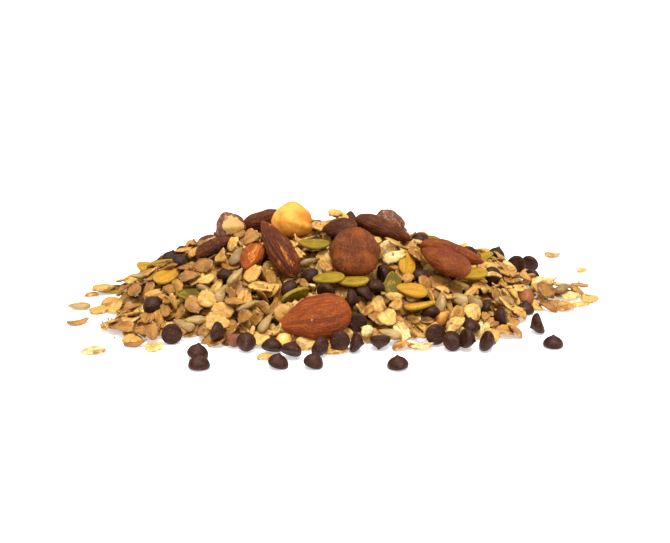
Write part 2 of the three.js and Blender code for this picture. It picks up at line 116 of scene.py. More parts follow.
GENTLE, STEEP, STEEP_SHARE = 17, 44, 0.34  # degrees off the slope of most flakes, and of a few
FLAT_BELOW = 5  # mm of level below which flakes lie flatter
TURNS_TRIED, SPOTS_TRIED = 4, 14  # for each flake, and the best of them is taken
MOST_TRIES, PATIENCE = 9000, 160  # tries in one filling, and how many full spots end it
SHORT_REACH = 3  # cells each way over which a shortfall is averaged
OVERFULL = -0.6  # mm, the most that an overfull cell takes off that average
FULL = 0.25  # mm of shortfall at which a spot is full
UNDERLAY = 2.0  # mm under the level to which the first filling goes
UNDER_OVERLAP, TOP_OVERLAP, CRUMB_OVERLAP = 1.0, 0.34, 0.2  # share of a piece that may cover a nut
CRUMBS = 350  # thrown at the heap, of which those that fit stay
# How much browner the flakes on the left shoulder are, partly toasting and partly painted shade of its
# shadowed pockets; where its middle is and how wide it is, in mm.
LEFT_TOAST_AND_SHADE, LEFT_TOAST_AND_SHADE_X, LEFT_TOAST_AND_SHADE_WIDE = 0.42, -56, 36

# Length, width and thickness in mm of a sunflower kernel, a pumpkin seed and a bit of nut.
KERNEL_SIZE = (8.4, 4.3, 2.5)
PEPITA_SIZE = (11.4, 6.4, 2.4)
BIT_SIZE = (7, 6, 5)
DROP_RADIUS, DROP_HEIGHT = 3.5, 4.6  # mm
FURROW = 0.36  # mm, how deep the furrows of an almond are
ALMOND_POINT, ROUND_POINT = 0.24, 0.05  # how far the pointed end of an almond is drawn in
SEED_POINT = 0.26  # and that of a seed

# Almonds: length, width, thickness in mm; heading of the pointed end, its rise, and the roll about
# the long axis, in degrees; how dark the skin is, from 0 to 1; and how deep it is furrowed.
ALMONDS = {
    "almond_front": ((24.5, 15.2, 8.4), (190, -9, -54), 0.3, 0.8),
    "almond_standing": ((24.5, 12, 8.8), (130, 38, -104), 0.66, 1.7),
    "almond_round": ((18.6, 17.8, 10), (88, 50, 4), 0.84, 0.15),
    "almond_right": ((20, 12.2, 7.8), (146, 15, 0), 0.6, 0.5),
    "almond_right_back": ((24, 13, 7.8), (-8, -14, -30), 0.45, 0.8),
    "almond_crest_right": ((22.5, 13.2, 7.2), (-12, -19, -16), 0.95, 0.9),
    "almond_crest_left": ((19, 11.6, 7.4), (14, 16, -40), 0.8, 1.0),
    "almond_left": ((14.5, 9.4, 6), (24, 20, -20), 1.0, 1.2),
    "almond_end_on": ((13, 9.2, 6.6), (-112, -24, 12), 0.2, 0.8),
    "almond_dark": ((13, 9.8, 6.2), (168, -4, -20), 1.0, 1.2),
    "almond_tilted_back": ((12, 7.4, 5.2), (82, 50, 20), 0.95, 1.0),
    "almond_back_slope": ((24, 13.2, 7.8), (35, -12, 34), 0.35, 1.0),
    "almond_back_right": ((23, 13, 8), (200, -8, 36), 0.5, 1.0),
    "almond_back_left": ((23.5, 12.8, 7.6), (100, -18, 10), 0.7, 1.0),
}

GLINTING_ALMONDS = ("almond_standing", "almond_end_on")  # their skin carries golden orange painted glints

# Hazelnuts: length, width, height; heading and lean of the point; share of the skin rubbed off;
# and the direction in which the rubbed side looks.
HAZELNUTS = {
    "hazelnut_blanched": ((15, 14.4, 13), (40, 8), 1.0, (0, 0, 1)),
    "hazelnut_left": ((11.2, 11, 11.6), (150, 30), 0.14, (0.35, -0.8, 0.5)),
    "hazelnut_right": ((12, 11.8, 12.4), (20, -24), 0.0, (0, 0, 1)),
    "hazelnut_back": ((13, 12.6, 13), (60, 40), 0.2, (0.3, 0.9, 0.3)),
    "hazelnut_back_left": ((12, 11.6, 12), (10, 70), 0.1, (-0.5, 0.6, 0.6)),
}

# Strays on the table: drops with heading and lean of the tip; flakes with length and width, heading
# and tilt, and how toasted they are; a seed and a kernel with heading and tilt, and their tone. Each
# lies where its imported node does.
STRAY_DROPS = {
    "chip_front_middle": (150, 6),
    "chip_front_right": (60, 3),
    "chip_side_right": (176, 112),
    "chip_edge_right": (90, 4),
    "chip_pair_left_a": (60, 5),
    "chip_pair_left_b": (10, 14),
    "chip_pair_middle_a": (-10, 16),
    "chip_pair_middle_b": (70, 40),
    "chip_pair_front_a": (-10, 18),
    "chip_pair_front_b": (-40, 104),
}
STRAY_FLAKES = {
    "flake_left_front": ((8.8, 6.4), (12, 3), 0.0),
    "flake_left_long": ((9, 3.8), (28, 2), 0.75),
    "flake_left_small": ((5.6, 3), (4, 2), 0.7),
    "flake_right_back": ((7, 5), (-14, 2), 0.6),
    "flake_right_small": ((4.8, 4), (10, 2), 0.1),
    "flake_back_a": ((8, 6), (-30, 3), 0.5),
    "flake_back_b": ((8.4, 5.4), (20, 3), 0.2),
    "flake_under_pair": ((7.4, 3.8), (-4, 2), 0.45),
}
STRAY_PEPITA = ("pepita_left", (186, 4), 0.45)
STRAY_KERNEL = ("kernel_left", (184, 2), 0.2)

# What lies where in the heap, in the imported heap's own millimetres, whose zero is this far from
# the part's origin.
HEAP_ZERO = (-1.6, 5.1)
DROPS = [  # x, y, heading of the tip, lean
    (-29.5, -54, -96, 76), (-20.5, -54.5, 80, 34), (-38.5, -48, -14, 100), (-55, -45, 100, 98),
    (1.8, -52.6, 84, 104), (7.6, -53, 4, 108), (15, -51.2, -90, 164),
    (33.4, -46.5, 100, 102), (39.5, -52.4, -60, 60), (44.6, -51.2, 20, 108), (51.2, -51.8, 4, 112),
    (45.6, -42.6, 80, 12), (56.4, -34, 172, 104), (51.2, -28.5, 170, 62), (6.4, -35.4, 0, 100),
    (10.6, -31.4, 30, 40), (-55.5, -3, 10, 30), (-61.5, 9, 60, 30), (-12, -24.5, 180, 42),
    (-16.8, -31, 192, 48), (-6.6, -8.6, 100, 14), (13.8, -29.2, 90, 30), (14.6, -21, 20, 80),
    (31.8, -20.4, 10, 40), (-2.4, -31.6, 60, 70), (60.4, 30.5, 190, 60), (63.4, 35, 6, 20),
    (70.2, 22.5, 80, 96), (77, 29.6, 60, 70), (75.6, 11.5, 40, 80), (-37.6, -22.4, 60, 50),
    (-57.8, 11.8, 120, 60), (32.6, -36.6, 90, 40), (6.2, -40.8, 90, 90), (-71.5, -12, 90, 20),
    (-20, 38, 60, 70), (12, 44, 120, 100), (38, 36, 30, 60), (-52, 36, 200, 80),
    (-6, 14, 300, 50), (50, 10, 80, 100), (-64, -28, 260, 70), (30, 8, 200, 60),
    (-34, 12, 20, 90), (-8, 49, 100, 100), (58, -6, 300, 80),
]
PEPITAS = [  # x, y, heading of the tip, rise, roll, and how toasted from green to gold
    (-49.5, -28.5, 182, 4, -14, 0.1), (20.2, -27.5, 92, 34, 6, 0.0), (-13.4, -34.5, 30, 14, -66, 0.25),
    (7.8, -27.6, 172, -4, -4, 0.6), (-0.5, -26.6, 176, -6, -10, 0.65), (-7.4, -13.5, 178, 2, -8, 0.5),
    (48, -12.5, 182, -6, -10, 0.75), (-70, 9, 150, 10, -10, 1.0),
    (-64.5, 3, 20, 4, -30, 0.4), (26.5, -30.5, 168, 8, -20, 1.0), (29, -37.5, 12, 6, -16, 0.95),
    (25.5, -17, 84, 30, 30, 0.95), (56, 22, 20, 10, 10, 0.6), (-40, 40, 140, 0, 30, 0.3),
    (6, 20, 250, -12, 40, 0.7), (-60, -14, 40, 8, 20, 0.9), (36, 18, 330, 10, 30, 0.5),
]
KERNELS = [  # x, y, heading of the tip, rise, roll
    (-34.5, -24.8, 52, 26, -30), (-44.6, -28, 330, -14, -34), (-40, -26, 70, 34, 20),
    (-33, -17.6, 60, 34, 10), (-9, -19.4, 24, 10, -34), (-12.4, -32.4, 50, 20, -30),
    (43, -27.5, 150, 10, -44), (43.6, -33.6, 60, 30, -30), (47, -30.4, 120, 20, -30),
    (33, -36.4, 80, 40, -20), (20.2, -45, 160, 8, -20), (-51.5, -39.4, 150, 10, -20),
    (-47.5, -38, 200, 6, -10), (-23.5, -43.6, 60, 30, -20), (84, -2, 30, 10, -10),
    (-30, -36, 20, 16, -20), (60, -20, 200, 10, -40), (-70, -2, 200, 6, 0),
]

FLAKES = [  # x, y, heading, rise, roll, and how toasted
    (-68.1, -44.6, 70, 4, 10, 0.6), (-60.2, -50.8, 12, 4, 6, 0.05), (-69.7, -36.1, 4, 6, -10, 0.7),
    (-68.5, -25.2, 84, 14, -30, 0.4), (80.2, -10.4, 150, 6, 0, 0.75), (86.5, -3.2, 20, 6, 10, 0.15),
    (89.2, -9.5, 8, 2, -4, 0.1), (93.5, -4.2, 70, 3, 4, 0.3), (83.4, -13.6, 16, 4, 6, 0.5),
    (89, 0.5, 130, 16, 20, 0.85), (28.6, -50.4, 2, 5, -8, 0.1), (22.2, -50.8, 20, 12, -10, 0.75),
    (-1.6, -55.1, 10, 3, 0, 0.3), (-84.4, -15.9, 24, 6, 4, 0.5), (-80.7, -11.7, 40, 4, 8, 0.65),
    (-73.1, -2.1, 170, 6, -6, 0.3),
    (17.9, -40.4, 118, 24, -20, 0.2), (22.5, -45.1, 124, 30, -40, 0.1),
    (-2, 6.5, 20, 6, 0, 0.5), (3.5, 7, 150, 10, 0, 0.2), (0, 7.5, 80, 0, 10, 0.3),
    (-39, -9, 76, 40, -20, 0.35), (-34, -44, 60, 20, -30, 0.95),
    (-30.5, -42.5, 110, 10, -40, 1.0), (-86.4, 2.6, 10, 3, 0, 0.55),
]
NUT_BITS = [  # x, y, heading, rise, roll, and how brown the nut is
    (36.8, -37.8, 20, 10, 0, 0.35), (-16.3, -50.3, 60, 30, 10, 0.1), (69.3, -11.2, 70, 20, 20, 0.9),
    (-33, -48.5, 20, 0, 40, 1.0), (-24, 30, 200, 10, 10, 0.4), (44, 22, 120, 0, 30, 0.6),
]

# ------------------------------------------------------------------ turning


def turned(heading, rise, roll):
    """Heading about +Z, then the rise of the +X end, then the roll about the long axis."""
    h, r, o = (math.radians(angle) for angle in (heading, rise, roll))
    matrix = Matrix.Rotation(h, 3, "Z") @ Matrix.Rotation(-r, 3, "Y") @ Matrix.Rotation(o, 3, "X")
    return np.array(matrix)


def leaned(heading, lean):
    """An upright piece leaned towards a heading."""
    h = math.radians(heading)
    axis = Vector((-math.sin(h), math.cos(h), 0))
    return np.array(Matrix.Rotation(math.radians(lean), 3, axis))


def on_slope(rise_x, rise_y):
    """The turn that takes +Z to the normal of a slope."""
    normal = Vector((-rise_x, -rise_y, 1)).normalized()
    return np.array(Vector((0, 0, 1)).rotation_difference(normal).to_matrix())


# ------------------------------------------------------------------ shapes

# A shape is a dict of points (mm, middle at the origin), faces, and one number for each point:
# its place from the middle (0) to the rim (1).


def skin(rings, first, last, edge):
    """Closed rings of points between two poles, as a shape. edge gives each ring's rim number."""
    sides = len(rings[0])
    points = [first] + [p for ring in rings for p in ring] + [last]
    end = len(points) - 1
    faces = []
    for s in range(sides):
        after = (s + 1) % sides
        faces.append((0, 1 + after, 1 + s))
        for r in range(len(rings) - 1):
            low = 1 + r * sides
            faces.append((low + s, low + after, low + sides + after, low + sides + s))
        top = 1 + (len(rings) - 1) * sides
        faces.append((end, top + s, top + after))
    rim = [0.0] + [value for value in edge for _ in range(sides)] + [0.0]
    return {"points": np.array(points, float), "faces": faces, "edge": np.array(rim)}


def waves(rng, counts, size):
    """A wavy function of an angle: a sum of sines with random phases."""
    phases = rng.uniform(0, 2 * math.pi, len(counts))
    sizes = size * rng.uniform(0.5, 1.0, len(counts))
    return lambda angle: sum(a * np.sin(n * angle + p) for n, a, p in zip(counts, sizes, phases))


FLAKE_SIDES = 12
FLAKE_RINGS = ((0.58, -0.95), (0.92, -0.7), (1.0, 0.0), (0.9, 0.72), (0.5, 0.95))


def oat_flake(rng, length, width, ragged=0.045, split=0.14):
    """A rolled oat: a thin puffed oval, creased along its length, bent, and uneven at the rim."""
    outline = waves(rng, (2, 3, 5), ragged)
    nicks = rng.normal(0, ragged * 0.3, FLAKE_SIDES)
    puffs = rng.normal(0, 0.05, (len(FLAKE_RINGS), FLAKE_SIDES))
    notches = rng.uniform(0, split, 2)
    thick = rng.uniform(0.75, 1.2)
    crease = rng.uniform(0.1, 0.6)
    curl = rng.uniform(-1.2, 1.5)
    cup = rng.uniform(-0.9, 0.7)
    twist = rng.uniform(-0.9, 0.9)
    taper = rng.uniform(-0.25, 0.25)

    def spot(share, angle, level, nick=0.0, puff=0.0):
        end = math.cos(angle)
        notch = notches[0] * max(0, end) ** 16 + notches[1] * max(0, -end) ** 16
        out = share * (1 + (outline(angle) + nick - notch) * share)
        along, across = out * end, out * math.sin(angle) * (1 + taper * end)
        up = level * thick / 2 + puff
        if level > 0:
            up -= crease * math.exp(-((across * 4.2) ** 2)) * (1 - 0.6 * share)
        up += curl * along**2 + cup * across**2 + twist * along * across
        return (along * length / 2, across * width / 2, up)

    angles = [2 * math.pi * s / FLAKE_SIDES for s in range(FLAKE_SIDES)]
    rings = []
    for (share, level), puff in zip(FLAKE_RINGS, puffs):
        shift = puff if level > 0 else puffs[-1] * share
        rings.append([spot(share, a, level, n, p) for a, n, p in zip(angles, nicks, shift)])
    edge = [share for share, _ in FLAKE_RINGS]
    return skin(rings, spot(0, 0, -1), spot(0, 0, 1), edge)


def sunflower_kernel(rng):
    """A shelled sunflower seed: a plump drop with a blunt base and a pointed end."""
    length, width, thick = KERNEL_SIZE
    bend = rng.uniform(-0.4, 0.4)
    rings = []
    for r in range(8):
        along = -math.cos(math.pi * (r + 0.7) / 8.4)
        full = math.sqrt(1 - along**2) * (1 - 0.34 * along - 0.12 * max(0, along) ** 2)
        ring = []
        for s in range(10):
            angle = 2 * math.pi * s / 10
            across = full * math.cos(angle) * width / 2 + bend * along**2
            flat = 1 - 0.12 * math.cos(angle) ** 6
            ring.append((along * length / 2, across, full * flat * math.sin(angle) * thick / 2))
        rings.append(ring)
    return skin(rings, (-length / 2, bend, 0), (length / 2, bend, 0), [0.2] * 8)


def pumpkin_seed(rng):
    """A shelled pumpkin seed: flat faces inside a raised rim, drawn in at one end."""
    length, width, thick = PEPITA_SIZE
    sides = 20
    curl = rng.uniform(-0.3, 0.5)
    lean = rng.uniform(-0.3, 0.3)

    def spot(share, angle, level):
        along = math.cos(angle)
        across = math.sin(angle) * (1 - SEED_POINT * along - 0.1 * max(0, along) ** 3)
        bend = curl * (share * along) ** 2 + lean * share * along * share * across
        return (share * along * length / 2, share * across * width / 2, level * thick / 2 + bend)

    angles = [2 * math.pi * s / sides for s in range(sides)]
    steps = (
        (0.4, -0.86), (0.72, -0.74), (0.84, -0.62), (0.92, -0.64), (1.0, -0.16), (1.0, 0.16),
        (0.92, 0.64), (0.84, 0.62), (0.72, 0.74), (0.4, 0.86),
    )
    rings = [[spot(share, a, level) for a in angles] for share, level in steps]
    return skin(rings, (0, 0, -0.9 * thick / 2), (0, 0, 0.9 * thick / 2), [share for share, _ in steps])


def chocolate_drop(rng, sides=20):
    """A small drop on a flat base, drawn up to a tip that leans a little."""
    profile = (
        (0.5, 0), (0.84, 0.0), (0.95, 0.05), (1.0, 0.14), (0.99, 0.26), (0.93, 0.39),
        (0.82, 0.52), (0.66, 0.64), (0.47, 0.74), (0.28, 0.82), (0.15, 0.9), (0.07, 0.97),
    )
    radius = DROP_RADIUS * rng.uniform(0.94, 1.04)
    tall = DROP_HEIGHT * rng.uniform(0.88, 1.06)
    drift = rng.uniform(-0.7, 0.7, 2)
    uneven = waves(rng, (2, 3), 0.02)
    rings = []
    for out, up in profile:
        ring = []
        for s in range(sides):
            angle = 2 * math.pi * s / sides
            reach = out * radius * (1 + uneven(angle))
            x, y = drift * up**3 + (reach * math.cos(angle), reach * math.sin(angle))
            ring.append((x, y, up * tall))
        rings.append(ring)
    tip = (drift[0], drift[1], tall)
    shape = skin(rings, (0, 0, 0), tip, [up for _, up in profile])
    shape["points"][:, 2] -= tall / 2
    return shape


def nut_bit(rng):
    """A broken piece of nut: a rounded lump with a few flat breaks."""
    rings = []
    for r in range(7):
        up = -math.cos(math.pi * (r + 0.8) / 7.6)
        rings.append([
            np.array((math.sqrt(1 - up**2) * math.cos(a), math.sqrt(1 - up**2) * math.sin(a), up))
            for a in (2 * math.pi * s / 12 for s in range(12))
        ])
    shape = skin(rings, (0, 0, -1.0), (0, 0, 1.0), [0.5] * 7)
    points = shape["points"]
    for _ in range(4):
        normal = rng.normal(size=3)
        normal /= np.linalg.norm(normal)
        past = np.maximum(points @ normal - rng.uniform(0.45, 0.8), 0)
        points -= past[:, None] * normal
    points *= np.array(BIT_SIZE) / 2 * rng.uniform(0.9, 1.1, 3)
    return shape


def crumb(rng):
    """A crumb of an oat flake."""
    rings = [[(math.cos(a), math.sin(a), level) for a in (2 * math.pi * s / 5 for s in range(5))]
             for level in (-0.3, 0.3)]
    shape = skin(rings, (0, 0, -0.6), (0, 0, 0.7), [1, 1])
    shape["points"] *= rng.uniform(0.5, 1.0, 3) * (0.75, 0.6, 0.45)
    shape["points"] += rng.normal(0, 0.06, shape["points"].shape)
    return shape


def almond(rng, size, point, furrows, around=128, steps=40):
    """An almond, blunt at -X and pointed at +X. Its rim number is the depth of its furrows."""
    length, width, thick = size
    furrow = waves(rng, (7, 10, 15), 0.6)
    fine = waves(rng, (23, 31), 0.7)
    sway = waves(rng, (1, 2), 0.1)
    lump = waves(rng, (2, 3), 0.025)
    angles = 2 * math.pi * np.arange(around) / around
    rings, edge = [], []
    for r in range(steps):
        along = -math.cos(math.pi * (r + 0.5) / steps)
        full = math.sqrt(1 - along**2) * (1 - point * along - point * 0.8 * max(0, along) ** 2)
        shifted = angles + sway(along * 2.2) + 0.06 * math.sin(5 * along)
        deep = np.exp(-((furrow(shifted) * 2.4) ** 2))
        deep = np.maximum(deep, 0.75 * np.exp(-((fine(shifted + along) * 2.2) ** 2)))
        deep *= furrows * (1 - abs(along) ** 6)
        reach = full * (1 + lump(along * 3))
        across = np.cos(angles) * (reach * width / 2 - FURROW * deep * full)
        up = np.sin(angles) * (reach * thick / 2 - FURROW * deep * full)
        rings.append([(along * length / 2, a, u) for a, u in zip(across, up)])
        edge.extend(deep)
    shape = skin(rings, (-length / 2, 0, 0), (length / 2, 0, 0), [0] * steps)
    shape["edge"][1:-1] = edge
    return shape


def hazelnut(rng, size, rubbed, around=48, steps=28):
    """A hazelnut, its point at +Z. Its rim number is how far it faces the rubbed direction."""
    length, width, height = size
    ribs = waves(rng, (5, 8, 13), 0.02)
    dents = waves(rng, (2, 3, 5), 0.045)
    angles = 2 * math.pi * np.arange(around) / around
    rings = []
    for r in range(steps):
        up = -math.cos(math.pi * (r + 0.5) / steps)
        full = math.sqrt(1 - up**2) * (1 - 0.16 * up - 0.24 * max(0, up) ** 1.6)
        reach = full * (1 + ribs(angles) + dents(angles + 2 * up) * (1 - up**2))
        level = up * height / 2 if up > -0.94 else -0.47 * height
        rings.append([(c * length / 2, s * width / 2, level)
                      for c, s in zip(reach * np.cos(angles), reach * np.sin(angles))])
    shape = skin(rings, (0, 0, -0.46 * height), (0, 0, height / 2), [0] * steps)
    points = shape["points"]
    facing = points @ rubbed / np.linalg.norm(rubbed) / np.linalg.norm(points, axis=1)
    shape["edge"] = (facing + 1) / 2
    return shape


# ------------------------------------------------------------------ meshes


def shape_mesh(name, shape):
    """A mesh of a shape, in metres, that also carries each point's own place and rim number."""
    mesh = bpy.data.meshes.new(name)
    mesh.from_pydata((shape["points"] * MM).tolist(), [], shape["faces"])
    mesh.shade_smooth()
    own = mesh.attributes.new("own_place", "FLOAT_VECTOR", "POINT")
    own.data.foreach_set("vector", shape["points"].astype(np.float32).ravel())
    edge = mesh.attributes.new("rim", "FLOAT", "POINT")
    edge.data.foreach_set("value", shape["edge"].astype(np.float32))
    return mesh


def add_object(name, mesh, material=None):
    piece = bpy.data.objects.new(name, mesh)
    bpy.context.scene.collection.objects.link(piece)
    if material is not None:
        mesh.materials.append(material)
    return piece


def settle(piece, slot, *nodes):
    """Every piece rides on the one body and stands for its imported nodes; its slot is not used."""
    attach(piece, "root")
    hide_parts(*nodes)
    return piece


def node_box(name):
    """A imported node's lowest and highest corners, in mm."""
    return (np.array(corner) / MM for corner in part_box(name))


def place_in_node(name, shape, turn, material, slot, tone):
    """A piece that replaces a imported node, centred in its box, and on the table if the node is."""
    low, high = node_box(name)
    mesh = shape_mesh(name + "_finished", shape)
    points = shape["points"] @ turn.T
    shift = (low + high) / 2 - (points.min(0) + points.max(0)) / 2
    if low[2] < ON_TABLE:
        shift[2] = -points[:, 2].min()
    points += shift
    mesh.vertices.foreach_set("co", (points * MM).astype(np.float32).ravel())
    mark = mesh.attributes.new("tone", "FLOAT", "POINT")
    mark.data.foreach_set("value", np.full(len(points), tone, np.float32))
    mesh.update()
    settle(add_object(name + "_finished", mesh, material), slot, name)


# ------------------------------------------------------------------ the grid of heights


def tree_of(name):
    """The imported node's triangles, in mm, ready for ray casting."""
    mesh = frame["nodes"][name].data
    points = [vertex.co / MM for vertex in mesh.vertices]
    return BVHTree.FromPolygons(points, [tuple(p.vertices) for p in mesh.polygons])


class Bed:
    """The heights, over a grid on the table, that the next piece comes to rest on."""

    def __init__(self):
        self.low = np.array(cad_low)[:2] / MM - MARGIN
        high = np.array(cad_high)[:2] / MM + MARGIN
        self.shape = tuple(int(n) for n in (high - self.low) / CELL)
        self.height = np.zeros(self.shape)
        self.solid = np.zeros(self.shape)
        self.level = np.zeros(self.shape)
        self.taken = np.zeros(self.shape, bool)
        self.ceiling = np.full(self.shape, FAR_UP)

    def cells(self, points):
        index = ((points[:, :2] - self.low) / CELL).astype(int)
        return tuple(np.clip(index[:, k], 0, self.shape[k] - 1) for k in (0, 1))

    def middle(self, i, j):
        return self.low + (np.array([i, j]) + 0.5) * CELL

    def cast(self, name, from_above=True):
        """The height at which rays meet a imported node, cell by cell, and NaN where they miss."""
        tree = tree_of(name)
        low, high = node_box(name)
        first = np.maximum(((low[:2] - self.low) / CELL).astype(int), 0)
        last = np.minimum(((high[:2] - self.low) / CELL).astype(int) + 1, self.shape)
        start, way = (high[2] + 1, -1) if from_above else (low[2] - 1, 1)
        found = np.full(self.shape, np.nan)
        for i in range(first[0], last[0]):
            for j in range(first[1], last[1]):
                x, y = self.middle(i, j)
                spot = tree.ray_cast(Vector((x, y, start)), Vector((0, 0, way)))[0]
                if spot is not None:
                    found[i, j] = spot.z
        return found

    def rest(self, cloud, x, y, firm):
        """How high a piece's middle rests at x, y, when a small share of it may sink in."""
        cells = self.cells(cloud + (x, y, 0))
        gaps = self.height[cells] - cloud[:, 2]
        rank = int(firm * (len(gaps) - 1))
        return max(np.partition(gaps, rank)[rank], CLEAR - cloud[:, 2].min()), cells

    def short(self, i, j):
        """How far the heap is below its level, averaged round a cell."""
        near = tuple(slice(k - SHORT_REACH, k + SHORT_REACH + 1) for k in (i, j))
        return np.maximum(self.level[near] - self.height[near], OVERFULL).mean()

    def level_at(self, x, y):
        return self.level[self.cells(np.array([[x, y]]))][0]


def blurred(grid, reach):
    """A grid averaged over a square of the given reach in mm, three times."""
    wide = max(1, int(reach / CELL / 2))
    for _ in range(3):
        for axis in (0, 1):
            padded = np.pad(grid, [(wide + 1, wide) if k == axis else (0, 0) for k in (0, 1)])
            sums = np.cumsum(padded, axis)
            count = 2 * wide + 1
            grid = (np.take(sums, range(count, sums.shape[axis]), axis)
                    - np.take(sums, range(sums.shape[axis] - count), axis)) / count
    return grid


def lowest(grid, reach):
    """Each cell's lowest neighbour within the given reach in mm."""
    wide = int(reach / CELL)
    for axis in (0, 1):
        grid = np.min([np.roll(grid, step, axis) for step in range(-wide, wide + 1)], axis=0)
    return grid


def cloud_of(shape, spacing=0.5):
    """Points spread evenly over a shape's surface, no further apart than the spacing."""
    points = shape["points"]
    found = [points]
    for face in shape["faces"]:
        for k in range(1, len(face) - 1):
            a, b, c = points[face[0]], points[face[k]], points[face[k + 1]]
            longest = max(np.linalg.norm(b - a), np.linalg.norm(c - a), np.linalg.norm(c - b))
            count = math.ceil(longest / spacing)
            u, v = np.meshgrid(np.arange(count + 1) / count, np.arange(count + 1) / count)
            keep = u + v <= 1
            u, v = u[keep][:, None], v[keep][:, None]
            found.append(a + u * (b - a) + v * (c - a))
    return np.vstack(found)


# ------------------------------------------------------------------ laying the pieces


class Kind:
    """One kind of loose piece: its shapes, and where each piece that is laid lies."""

    def __init__(self, name, shapes):
        self.name = name
        self.shapes = shapes
        self.clouds = [cloud_of(shape) for shape in shapes]
        self.places, self.turns, self.picks, self.tones = [], [], [], []

    def add(self, x, y, rest, turn, pick, tone):
        self.places.append((x, y, rest))
        self.turns.append(Matrix(turn.tolist()).to_euler("XYZ"))
        self.picks.append(pick)
        self.tones.append(tone)

    def lay(self, bed, x, y, turns, rng, overlap, firm=FIRM):
        """Lays a piece with whichever turn lets it lie lowest, if it fits there."""
        pick = int(rng.integers(len(self.shapes)))
        best = None
        for turn in turns:
            cloud = self.clouds[pick] @ turn.T
            rest, cells = bed.rest(cloud, x, y, firm)
            if best is None or rest < best[0]:
                best = (rest, cells, turn, cloud)
        rest, cells, turn, cloud = best
        tops = rest + cloud[:, 2]
        if bed.taken[cells].mean() > overlap:
            return
        if (tops > bed.ceiling[cells] + TOUCH).mean() > MOST_TOUCH:
            return
        if (tops > bed.level[cells] + PROUD).mean() > MOST_PROUD:
            return
        np.maximum.at(bed.height, cells, tops)
        # Flakes on the left shoulder get a browner tone: partly toasting, partly painted shade.
        toast_and_shade = LEFT_TOAST_AND_SHADE * math.exp(-(((x - LEFT_TOAST_AND_SHADE_X) / LEFT_TOAST_AND_SHADE_WIDE) ** 2))
        self.add(x, y, rest, turn, pick, min(1.0, rng.random() + toast_and_shade))

    def bury(self, bed, x, y, turn, rng, tone=None):
        """Sets a piece half way into the level, at the nearest spot where it isn't raised much."""
        pick = int(rng.integers(len(self.shapes)))
        cloud = self.clouds[pick] @ turn.T
        rank = int(BURIED_FIRM * len(cloud))
        for aside, way in NUDGES:
            place = (x + aside * math.cos(way), y + aside * math.sin(way))
            cells = bed.cells(cloud + (*place, 0))
            rest = max(bed.level_at(*place), CLEAR - cloud[:, 2].min())
            held = np.partition(bed.solid[cells] - cloud[:, 2], rank)[rank]
            if held - rest <= MOST_RAISED:
                break
        else:
            return
        rest = max(rest, held)
        np.maximum.at(bed.solid, cells, rest + cloud[:, 2])
        np.minimum.at(bed.ceiling, cells, rest + cloud[:, 2])
        bed.taken[cells] = True
        self.add(*place, rest, turn, pick, rng.random() if tone is None else tone)


def heap_surface(bed, nuts):
    """The level that loose pieces fill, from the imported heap's relief, with its slopes."""
    relief = np.nan_to_num(bed.cast("heap"), nan=0.0)
    inside = relief > HEAP_FOOT
    known = inside & ~nuts

    def averaged(reach):
        share = blurred(known.astype(float), reach)
        return blurred(np.where(known, relief, 0.0), reach) / np.maximum(share, LEAST_SHARE), share

    close, share = averaged(CLOSE)
    wide, _ = averaged(WIDE)
    crowd = blurred(nuts.astype(float), CLOSE)
    open_share = np.minimum(2 * share / np.maximum(share + crowd, LEAST_SHARE), 1)
    mean = open_share * close + (1 - open_share) * wide
    covered = inside | (nuts & (mean > UNDER_NUT))
    surface = np.where(covered, np.maximum(mean + PIECE_RISE, THINNEST), 0.0)
    x = bed.low[0] + (np.arange(bed.shape[0])[:, None] + 0.5) * CELL - HEAP_ZERO[0]
    y = bed.low[1] + (np.arange(bed.shape[1])[None] + 0.5) * CELL - HEAP_ZERO[1]
    for tuft_x, tuft_y, radius, height in TUFTS:
        surface += covered * height * np.exp(-((x - tuft_x) ** 2 + (y - tuft_y) ** 2) / radius**2 * 2)
    slope_x, slope_y = np.gradient(blurred(surface, SLOPE_REACH), CELL)
    return surface, slope_x, slope_y


def fill(bed, under, slopes, mix, rng, overlap):
    """Drops flakes where the heap is furthest short of a depth under its level, until it is full."""
    spots = np.argwhere(bed.level > 0)
    kinds, shares = mix
    full = tries = 0
    while full < PATIENCE and tries < MOST_TRIES:
        tries += 1
        looked_at = spots[rng.integers(len(spots), size=SPOTS_TRIED)]
        short, i, j = max((bed.short(i, j), i, j) for i, j in looked_at)
        if short - under < FULL:
            full += 1
            continue
        kind = kinds[int(rng.choice(len(kinds), p=shares))]
        x, y = bed.middle(i, j) + rng.uniform(-CELL / 2, CELL / 2, 2)
        base = on_slope(slopes[0][i, j], slopes[1][i, j])
        loose = min(1.0, bed.level[i, j] / FLAT_BELOW)
        spread = loose * (STEEP if rng.random() < STEEP_SHARE else GENTLE)
        turns = [
            base @ turned(rng.uniform(0, 360), rng.normal(0, spread), rng.normal(0, spread))
            for _ in range(TURNS_TRIED)
        ]
        kind.lay(bed, x, y, turns, rng, overlap)


# ------------------------------------------------------------------ colours


def shade(red, green, blue):
    """A colour as it is seen on a screen, 0 to 255, in the linear values that shaders take."""
    def linear(value):
        value /= 255
        return value / 12.92 if value <= 0.04045 else ((value + 0.055) / 1.055) ** 2.4
    return (linear(red), linear(green), linear(blue), 1.0)


